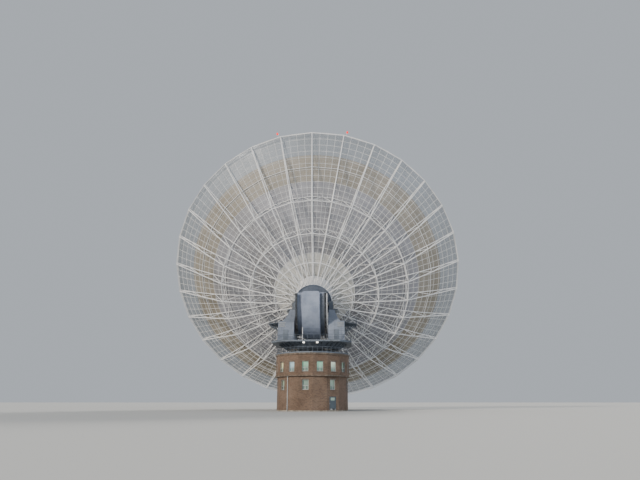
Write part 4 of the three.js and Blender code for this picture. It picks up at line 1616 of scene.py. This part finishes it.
    def build_bogies(self) -> None:
        """Treaded wheels, axle boxes and drive cases of the four bogies."""
        radius, half, spread = self.wheel
        middle = self.rail_middle
        names = ("front_right", "front_left", "rear_left", "rear_right")
        for index, name in enumerate(names):
            shape = Shape(Place.TURRET)
            top = self.skirt[1] - 0.002
            low = self.rail_top + 0.22
            for y in (-spread, spread):
                start = shape.mark()
                shape.spun(
                    [
                        (0.05, -half - 0.03),
                        (0.12, -half - 0.03),
                        (0.14, -half + 0.03),
                        (0.21, -half + 0.03),
                        (0.23, -half),
                        (radius - 0.01, -half),
                        (radius, -half + 0.012),
                        (radius, half - 0.012),
                        (radius - 0.01, half),
                        (0.23, half),
                        (0.21, half - 0.03),
                        (0.14, half - 0.03),
                        (0.12, half + 0.03),
                        (0.05, half + 0.03),
                    ],
                    32,
                )
                axle = self.rail_top + 0.0012 + radius
                centre = Matrix.Translation((middle, y, axle))
                shape.moved(start, centre @ Matrix.Rotation(math.pi / 2, 4, "Y"))
                shape.bar((middle - 0.27, y, axle), (middle + 0.27, y, axle), 0.055, 12)
                for x in (-0.24, 0.24):
                    across = (middle + x - 0.035, middle + x + 0.035)
                    shape.box(across, (y - 0.12, y + 0.12), (low, low + 0.22), 0.01)
            for x in (-0.25, 0.21):
                shape.box((middle + x, middle + x + 0.04), (-1.0, 1.0), (low + 0.14, top), 0.006)
            for y in (-0.98, -0.02, 0.94):
                shape.box((middle - 0.22, middle + 0.22), (y, y + 0.04), (low + 0.14, top))
            shape.box((middle - 0.28, middle + 0.28), (-1.0, 1.0), (top - 0.04, top), 0.005)
            shape.turn(0, math.radians(45 + 90 * index))
            shape.finish(f"bogie_{name}", "turret", "rail_steel", Metal.RAIL, [f"azimuth_bogie_{name}"])

    def build_rear_fittings(self) -> None:
        """Two lamps under the deck's rear edge, and a signal post on the deck."""
        cases, glasses = Shape(Place.TURRET), Shape(Place.TURRET)
        low, level = self.deck
        for x in (-1.25, 1.2):
            cases.box((x - 0.22, x + 0.22), (-6.38, -6.12), (low - 0.34, low - 0.002), 0.03)
            glasses.box((x - 0.17, x + 0.17), (-6.4, -6.37), (low - 0.3, low - 0.1), 0.01)
        x, y = self.post
        arm = level + 0.55
        cases.bar((x, y, level), (x, y, level + 2.25), 0.06, 12)
        cases.bar((x - 0.9, y, arm), (x, y, arm), 0.045, 10)
        cases.box((x - 0.12, x + 0.12), (y - 0.12, y + 0.12), (level, level + 0.06), 0.01)
        cases.finish("rear_lamp_cases_and_post", "turret", "railing_paint", Metal.STRUCTURE)
        glasses.finish("rear_lamp_glasses", "turret", "window_glass", Metal.LAMP)

    def build(self) -> None:
        """Builds all of the turret's fittings."""
        self.build_deck()
        self.build_cladding()
        self.build_platforms()
        self.build_steps()
        self.build_bearings()
        self.build_bogies()
        self.build_rear_fittings()


@dataclass
class SwingingMass:
    """The counterweight between two toothed sectors, which swings with the dish."""

    sector_half: float = math.radians(43)
    sector_web: tuple = (2.58, 2.76)
    rack: tuple = (2.46, 2.88, 6.55, 6.9)
    tray: tuple = (2.87, 3.03, 6.66, 6.84)
    tray_arc: tuple = (-42.0, 24.0)
    teeth: int = 112
    tooth: float = 0.07
    weight_half: float = math.radians(46)
    weight_radii: tuple = (2.0, 6.2)
    ridge_radius: float = 6.9
    ridge_half: float = 1.7
    strip: tuple = (1.84, 2.4)
    shaft_end: float = 4.1

    def build_counterweight(self) -> None:
        """The block with its raised ridge, whose ends are rounded off."""
        shape = Shape(Place.DISH)
        reach = self.sector_web[0] - 0.001
        inner, outer = self.weight_radii
        soft = 0.06
        half = self.weight_half
        body = [
            (-reach, inner),
            (reach, inner),
            (reach, outer - soft),
            (reach - soft, outer),
            (soft - reach, outer),
            (-reach, outer - soft),
        ]
        shape.swept(body, -half, half, 44)
        start = shape.mark()
        width, top = self.ridge_half, self.ridge_radius
        ridge = [
            (-width, outer - 0.1),
            (width, outer - 0.1),
            (width, top - 0.16),
            (width - 0.05, top - 0.06),
            (width - 0.16, top),
        ]
        ridge += [(-x, radius) for x, radius in reversed(ridge[2:])]
        shape.swept(ridge, -half, half, 104)
        fade = 0.5 / top
        for vert in shape.since(start):
            angle = abs(math.atan2(vert.co.y, -vert.co.z))
            past = max(0.0, (angle - (half - fade)) / fade)
            vert.co.x *= 0.78 + 0.22 * math.sqrt(max(0.0, 1.0 - past**2))
        shape.finish(
            "counterweight_block", "dish", "counterweight_iron", Metal.COUNTERWEIGHT, ["counterweight"]
        )

    def build_plates(self) -> None:
        """Seams and bolt heads across the ridge, and a curved ladder on its right."""
        seams, bolts = Shape(Place.DISH), Shape(Place.DISH)
        top, width = self.ridge_radius, self.ridge_half
        step = math.radians(13)
        for i in range(-3, 4):
            angle = i * step
            joint = rectangle((0.02 - width, width - 0.02), (top - 0.02, top + 0.02))
            seams.swept(joint, angle - 0.006, angle + 0.006, 1)
            for column in range(9):
                x = (width - 0.2) * (column / 4 - 1)
                for side in (-0.018, 0.018):
                    spot = Matrix.Rotation(angle + side, 3, "X") @ Vector((0, 0, -1))
                    along = Vector((x, 0, 0))
                    bolts.bar(spot * (top - 0.01) + along, spot * (top + 0.025) + along, 0.03, 6)
        half = self.weight_half - math.radians(1.5)
        for x in (-width + 0.12, width - 0.16):
            seams.swept(rectangle((x, x + 0.04), (top - 0.02, top + 0.015)), 0.16 - half, half - 0.16, 60)
        seams.finish("ridge_seams", "dish", "counterweight_iron", Metal.COUNTERWEIGHT)
        bolts.finish("ridge_bolts", "dish", "counterweight_iron", Metal.COUNTERWEIGHT)
        ladder = Shape(Place.DISH)
        inner, outer = self.strip
        base = self.weight_radii[1]
        for x in (inner, outer - 0.07):
            ladder.swept(rectangle((x, x + 0.07), (base + 0.12, base + 0.24)), -half, half, 52)
        count = 39
        for i in range(count):
            angle = -half + 2 * half * (i + 0.5) / count
            spot = Matrix.Rotation(angle, 3, "X") @ Vector((0, 0, -(base + 0.18)))
            ladder.bar(spot + Vector((inner, 0, 0)), spot + Vector((outer, 0, 0)), 0.03, 6)
            if i % 4 == 0:
                foot = Matrix.Rotation(angle, 3, "X") @ Vector((0, 0, -(base - 0.02)))
                for x in (inner + 0.035, outer - 0.035):
                    ladder.bar(foot + Vector((x, 0, 0)), spot + Vector((x, 0, 0)), 0.03, 6)
        ladder.finish("ridge_ladder", "dish", "turret_paint", Metal.TURRET)

    def build_tray(self) -> None:
        """A cable tray with its clips, clamped along the right rack's outer face."""
        shape = Shape(Place.DISH)
        inner, outer, low, high = self.tray
        first, last = (math.radians(angle) for angle in self.tray_arc)
        shape.swept(rectangle((inner, outer), (low, high)), first, last, 40)
        count = 9
        for i in range(count):
            angle = first + (last - first) * (i + 0.5) / count
            start = shape.mark()
            shape.box((inner, outer + 0.015), (-0.05, 0.05), (-high - 0.02, 0.03 - low), 0.008)
            shape.moved(start, Matrix.Rotation(angle, 4, "X"))
        shape.finish("sector_cable_tray", "dish", "structure_paint", Metal.STRUCTURE)

    def build_racks(self) -> None:
        """Teeth round both sectors, at twice their real pitch to be seen, and stiffeners on the webs."""
        teeth, ribs = Shape(Place.DISH), Shape(Place.DISH)
        inner, outer, _, radius = self.rack
        half = self.sector_half - 0.01
        pitch = 2 * half / self.teeth
        start = teeth.mark()
        wide = 0.5 * pitch * radius * 0.55
        verts = teeth.box((inner + 0.03, outer - 0.03), (-wide, wide), (-radius - self.tooth, -radius + 0.02))
        crest = [vert for vert in verts if vert.co.z < -radius]
        bmesh.ops.scale(teeth.bm, verts=crest, vec=(1, 0.55, 1))
        teeth.moved(start, Matrix.Rotation(-half + pitch / 2, 4, "X"))
        bmesh.ops.spin(
            teeth.bm,
            geom=teeth.geometry(start),
            cent=(0, 0, 0),
            axis=(1, 0, 0),
            angle=pitch * (self.teeth - 1),
            steps=self.teeth - 1,
            use_duplicate=True,
        )
        teeth.mirrored()
        teeth.finish("rack_teeth", "dish", "rail_steel", Metal.RACK)
        web = self.sector_web[1]
        for i in range(-3, 4):
            start = ribs.mark()
            ribs.box((web - 0.01, web + 0.12), (-0.03, 0.03), (-self.rack[2] + 0.01, -1.6), 0.008)
            ribs.moved(start, Matrix.Rotation(i * math.radians(13), 4, "X"))
        ribs.swept(rectangle((web - 0.01, web + 0.09), (3.9, 3.98)), -0.7, 0.7, 24)
        ribs.mirrored()
        ribs.finish("sector_stiffeners", "dish", "turret_paint", Metal.TURRET)

    def build_shaft_ends(self) -> None:
        """A bolted flange on each end of the elevation shaft."""
        shape = Shape(Place.DISH)
        start = shape.mark()
        shape.spun(
            [(0.0, 0.0), (0.34, 0.0), (0.34, 0.05), (0.3, 0.08), (0.12, 0.08), (0.1, 0.05), (0.0, 0.05)],
            32,
            closed=False,
        )
        for i in range(8):
            spot = Matrix.Rotation(math.tau * i / 8, 3, "Z") @ Vector((0.22, 0, 0.07))
            shape.bar(spot, spot + Vector((0, 0, 0.05)), 0.03, 6)
        shape.moved(
            start, Matrix.Translation((self.shaft_end - 0.005, 0, 0)) @ Matrix.Rotation(math.pi / 2, 4, "Y")
        )
        shape.mirrored()
        shape.finish("shaft_end_flanges", "dish", "shaft_steel", Metal.SHAFT)

    def build(self) -> None:
        """Builds the swinging mass."""
        self.build_counterweight()
        self.build_plates()
        self.build_tray()
        self.build_racks()
        self.build_shaft_ends()


@dataclass
class Feed:
    """Three lattice legs and the cabin that they hold at the focus."""

    foot: float = 15.8
    top: float = 1.8
    top_height: float = 32.9
    width: float = 1.1
    taper: float = 0.35
    frames: int = 11
    chord: float = 0.075
    radius: float = 2.3
    low: float = 32.6
    high: float = 37.2
    deck_radius: float = 3.3
    deck_thickness: float = 0.08
    aperture: float = 0.75
    horn_low: float = 31.9
    horn_mouth: float = 0.55

    def corner(self, index: int, share: float) -> Vector:
        """A point on a leg's corner line.

        Args:
            index: which of the three lines.
            share: how far up it is, from 0 at the dish's surface to 1 at the cabin.

        Returns:
            The point.
        """
        base = Reflector().surface(self.foot)
        size = self.width * (1 - self.taper * share)
        x, y = ((0, -0.58), (-0.5, 0.29), (0.5, 0.29))[index]
        along = -self.foot + (self.foot - self.top) * share
        return Vector((x * size, along + y * size, base + (self.top_height - base) * share))

    def build_legs(self) -> None:
        """Three-sided lattice masts: corner tubes, frames and slanting bars."""
        underside = self.low - self.deck_thickness
        base = Reflector().surface(self.foot)
        last = (underside - base) / (self.top_height - base)
        for turn, name in enumerate(("upper", "right", "left")):
            shape = Shape(Place.DISH)
            for index in range(3):
                shape.bar(self.corner(index, 0.004), self.corner(index, last), self.chord, 8)
            for i in range(self.frames + 1):
                here = 0.01 + (last - 0.015) * i / self.frames
                there = 0.01 + (last - 0.015) * (i + 1) / self.frames
                for index in range(3):
                    beside = (index + 1) % 3
                    shape.bar(self.corner(index, here), self.corner(beside, here), 0.04, 6)
                    if i < self.frames:
                        shape.bar(self.corner(index, here), self.corner(beside, there), 0.035, 5)
            start = shape.mark()
            shape.box((-0.85, 0.85), (-0.85, 0.85), (-0.1, 0.1), 0.02)
            for x in (-0.7, 0.7):
                for y in (-0.7, 0.7):
                    shape.bar((x, y, 0.08), (x, y, 0.18), 0.06, 6)
            lean = Matrix.Rotation(-math.atan(self.foot / (2 * Reflector.focal_length)), 4, "X")
            shape.moved(start, Matrix.Translation((0, -self.foot, base + 0.102)) @ lean)
            shape.turn(0, turn * math.tau / 3)
            shape.finish(
                f"leg_lattice_{name}", "dish", "structure_paint", Metal.STRUCTURE, [f"feed_leg_{name}"]
            )

    def build_cabin(self) -> None:
        """The round cabin: shell with a chamfered roof, seams, a roof hatch and a door."""
        shell = Shape(Place.DISH)
        r, low, high = self.radius, self.low, self.high
        shell.spun(
            [
                (r - 0.06, low),
                (r, low),
                (r, high - 0.42),
                (r - 0.03, high - 0.37),
                (r - 0.47, high - 0.02),
                (r - 0.52, high),
                (0.0, high),
                (0.0, high - 0.06),
                (r - 0.55, high - 0.06),
                (r - 0.06, high - 0.45),
            ],
            64,
        )
        shell.finish("cabin_shell", "dish", "cabin_paint", Metal.CABIN, ["focus_cabin"])
        seams = Shape(Place.DISH)
        start = seams.mark()
        seams.box((-0.03, 0.03), (-r - 0.02, -r + 0.02), (low + 0.05, high - 0.43))
        seams.copies_round(start, 12, math.tau / 12)
        for level in (low + 0.04, low + 1.55, low + 3.0, high - 0.46):
            seams.spun(rectangle((r - 0.01, r + 0.025), (level - 0.03, level + 0.03)), 64)
        mark = seams.mark()
        seams.box((-0.42, 0.42), (-r - 0.05, -r + 0.05), (low + 0.06, low + 2.05), 0.02)
        seams.box((-0.3, 0.3), (-r - 0.075, -r - 0.03), (low + 1.1, low + 1.85), 0.01)
        seams.turn(mark, math.radians(45))
        foot, head = high - 0.01, high + 0.14
        seams.spun([(0.0, foot), (0.5, foot), (0.5, high + 0.1), (0.44, head), (0.0, head)], 24, closed=False)
        seams.finish("cabin_seams_door_and_hatch", "dish", "cabin_paint", Metal.CABIN)

    def build_deck(self) -> None:
        """A round walkway under the cabin, with beams and a handrail."""
        deck = Shape(Place.DISH)
        top, low = self.low - 0.001, self.low - self.deck_thickness
        deck.spun(rectangle((self.aperture, self.deck_radius), (low, top)), 64)
        start = deck.mark()
        deck.box((-0.04, 0.04), (-self.deck_radius + 0.02, -1.0), (low - 0.16, low + 0.01), 0.008)
        deck.copies_round(start, 12, math.tau / 12)
        deck.spun(rectangle((self.deck_radius - 0.08, self.deck_radius), (low - 0.16, low)), 64)
        deck.finish("cabin_walkway", "dish", "structure_paint", Metal.STRUCTURE, ["cabin_deck"])
        rails = Shape(Place.DISH)
        radius = self.deck_radius - 0.06
        start = rails.mark()
        rails.bar((0, -radius, top), (0, -radius, top + 1.02), 0.03, 8)
        rails.copies_round(start, 16, math.tau / 16)
        for height, thickness in ((1.02, 0.035), (0.68, 0.022), (0.36, 0.022)):
            tube = []
            for i in range(6):
                turn = i * math.tau / 6
                tube.append((radius + thickness * math.cos(turn), top + height + thickness * math.sin(turn)))
            rails.spun(tube, 48)
        rails.finish("cabin_handrail", "dish", "structure_paint", Metal.RAILING)

    def build_horn(self) -> None:
        """The corrugated horn that looks down into the dish."""
        horn = Shape(Place.DISH)
        mouth, neck, low, high = self.horn_mouth, self.aperture - 0.002, self.horn_low, self.low + 0.3
        flat = self.low - self.deck_thickness
        outside = [(mouth, low), (mouth + 0.03, low + 0.03)]
        for i in range(1, 7):
            height = low + 0.03 + (flat - low - 0.06) * i / 6
            radius = mouth + (neck - mouth) * i / 6
            outside += [(radius - 0.025, height - 0.05), (radius + (0.0 if i == 6 else 0.02), height)]
        horn.spun(outside + [(neck, high), (neck - 0.04, high), (mouth - 0.04, low)], 48)
        horn.finish("horn_corrugated", "dish", "horn_aluminium", Metal.SHAFT, ["feed_horn"])

    def build_lamp(self) -> None:
        """A red warning lamp on the cabin's upper edge."""
        post, glass = Shape(Place.DISH), Shape(Place.DISH)
        y = 0.5 - self.radius
        post.bar((0, y, self.high - 0.05), (0, y, self.high + 0.3), 0.04, 8)
        post.finish("cabin_lamp_post", "dish", "structure_paint", Metal.STRUCTURE)
        glass.bar((0, y, self.high + 0.3), (0, y, self.high + 0.55), 0.1, 12)
        glass.finish("cabin_lamp_glass", "dish", "structure_paint", Metal.WARNING, smooth=True)

    def build(self) -> None:
        """Builds the feed."""
        self.build_legs()
        self.build_cabin()
        self.build_deck()
        self.build_horn()
        self.build_lamp()


@dataclass
class Studio:
    """Floor, light and camera. The camera's place and lens come from a fit to the photograph."""

    camera_place: tuple = (2.873, -48.68, 0.809)
    heading: float = math.radians(2.55)
    pitch: float = math.radians(17.958)
    lens: float = 28.08

    def build_camera(self) -> None:
        """The camera behind and below the dish."""
        data = bpy.data.cameras.new("camera")
        data.lens = self.lens
        data.sensor_width = 36.0
        data.clip_end = 2000.0
        camera = bpy.data.objects.new("camera", data)
        camera.location = self.camera_place
        camera.rotation_euler = (math.pi / 2 + self.pitch, 0.0, self.heading)
        bpy.context.scene.collection.objects.link(camera)
        bpy.context.scene.camera = camera

    def build_floor(self) -> None:
        """A wide pale floor."""
        bm = bmesh.new()
        bmesh.ops.create_grid(bm, x_segments=1, y_segments=1, size=600.0)
        mesh = bpy.data.meshes.new("floor")
        bm.to_mesh(mesh)
        bm.free()
        floor = bpy.data.objects.new("floor", mesh)
        material = bpy.data.materials.new("pale_floor")
        material.use_nodes = True
        shader = material.node_tree.nodes["Principled BSDF"]
        shader.inputs["Base Color"].default_value = linear("bcbdbb")
        shader.inputs["Roughness"].default_value = 0.9
        mesh.materials.append(material)
        bpy.context.scene.collection.objects.link(floor)

    def build_sun(
        self, name: str, power: float, degrees: tuple[float, float], spread: float, colour: str
    ) -> None:
        """A large soft light, far off.

        Args:
            name: its name.
            power: its strength.
            degrees: how far it is tipped from straight down, and turned about Z.
            spread: its apparent size in degrees.
            colour: its hex colour.
        """
        data = bpy.data.lights.new(name, "SUN")
        data.energy = power
        data.angle = math.radians(spread)
        data.color = linear(colour)[:3]
        sun = bpy.data.objects.new(name, data)
        sun.rotation_euler = (math.radians(degrees[0]), 0.0, math.radians(degrees[1]))
        bpy.context.scene.collection.objects.link(sun)

    def build(self) -> None:
        """Builds the studio."""
        world = bpy.data.worlds.new("studio")
        world.use_nodes = True
        background = world.node_tree.nodes["Background"]
        background.inputs["Color"].default_value = linear("cfd6de")
        background.inputs["Strength"].default_value = 0.75
        bpy.context.scene.world = world
        self.build_floor()
        self.build_camera()
        self.build_sun("key", 3.2, (72.0, -40.0), 10.0, "fff3e4")
        self.build_sun("fill", 0.9, (78.0, 50.0), 40.0, "e4edff")
        self.build_sun("front", 1.7, (52.0, 150.0), 14.0, "fff8ee")


NODE_FINISHES: dict[str, Metal] = {
    "ground_slab": Metal.CONCRETE,
    "first_floor": Metal.CONCRETE,
    "second_floor": Metal.LEDGE,
    "roof_deck": Metal.LEDGE,
    "track_wall": Metal.CONCRETE,
    "lower_wall": Metal.BRICK,
    "upper_wall": Metal.BRICK,
    "entrance_wall": Metal.BRICK,
    "entrance_lintel": Metal.BRICK,
    "entrance_door": Metal.DOOR,
    "middle_window_glass": Metal.GLASS,
    "top_window_glass": Metal.GLASS,
    "walkway_railing": Metal.TURRET,
    "azimuth_rail": Metal.RAIL,
    "azimuth_bogie": Metal.RAIL,
    "turret": Metal.TURRET,
    "turret_deck": Metal.DECK,
    "platform": Metal.TURRET,
    "elevation_bearing": Metal.TURRET,
    "housing": Metal.CLADDING,
    "hub": Metal.CLADDING,
    "gear_sector": Metal.TURRET,
    "counterweight": Metal.COUNTERWEIGHT,
    "elevation_shaft": Metal.SHAFT,
    "feed_horn": Metal.SHAFT,
    "focus_cabin": Metal.CABIN,
}


def dress_frame() -> None:
    """Gives every CAD node that stays in view the finish of its part."""
    for name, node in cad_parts.items():
        found = [metal for start, metal in NODE_FINISHES.items() if name.startswith(start)]
        metal = found[-1] if found else Metal.STRUCTURE
        node.data.materials.clear()
        node.data.materials.append(metal.material)


def main() -> None:
    """Builds everything in order."""
    logging.basicConfig(level=logging.INFO, format="%(message)s")
    dress_frame()
    for assembly in (Tower(), Turret(), SwingingMass(), Reflector(), Feed(), Studio()):
        assembly.build()


if __name__ == "__main__":
    main()
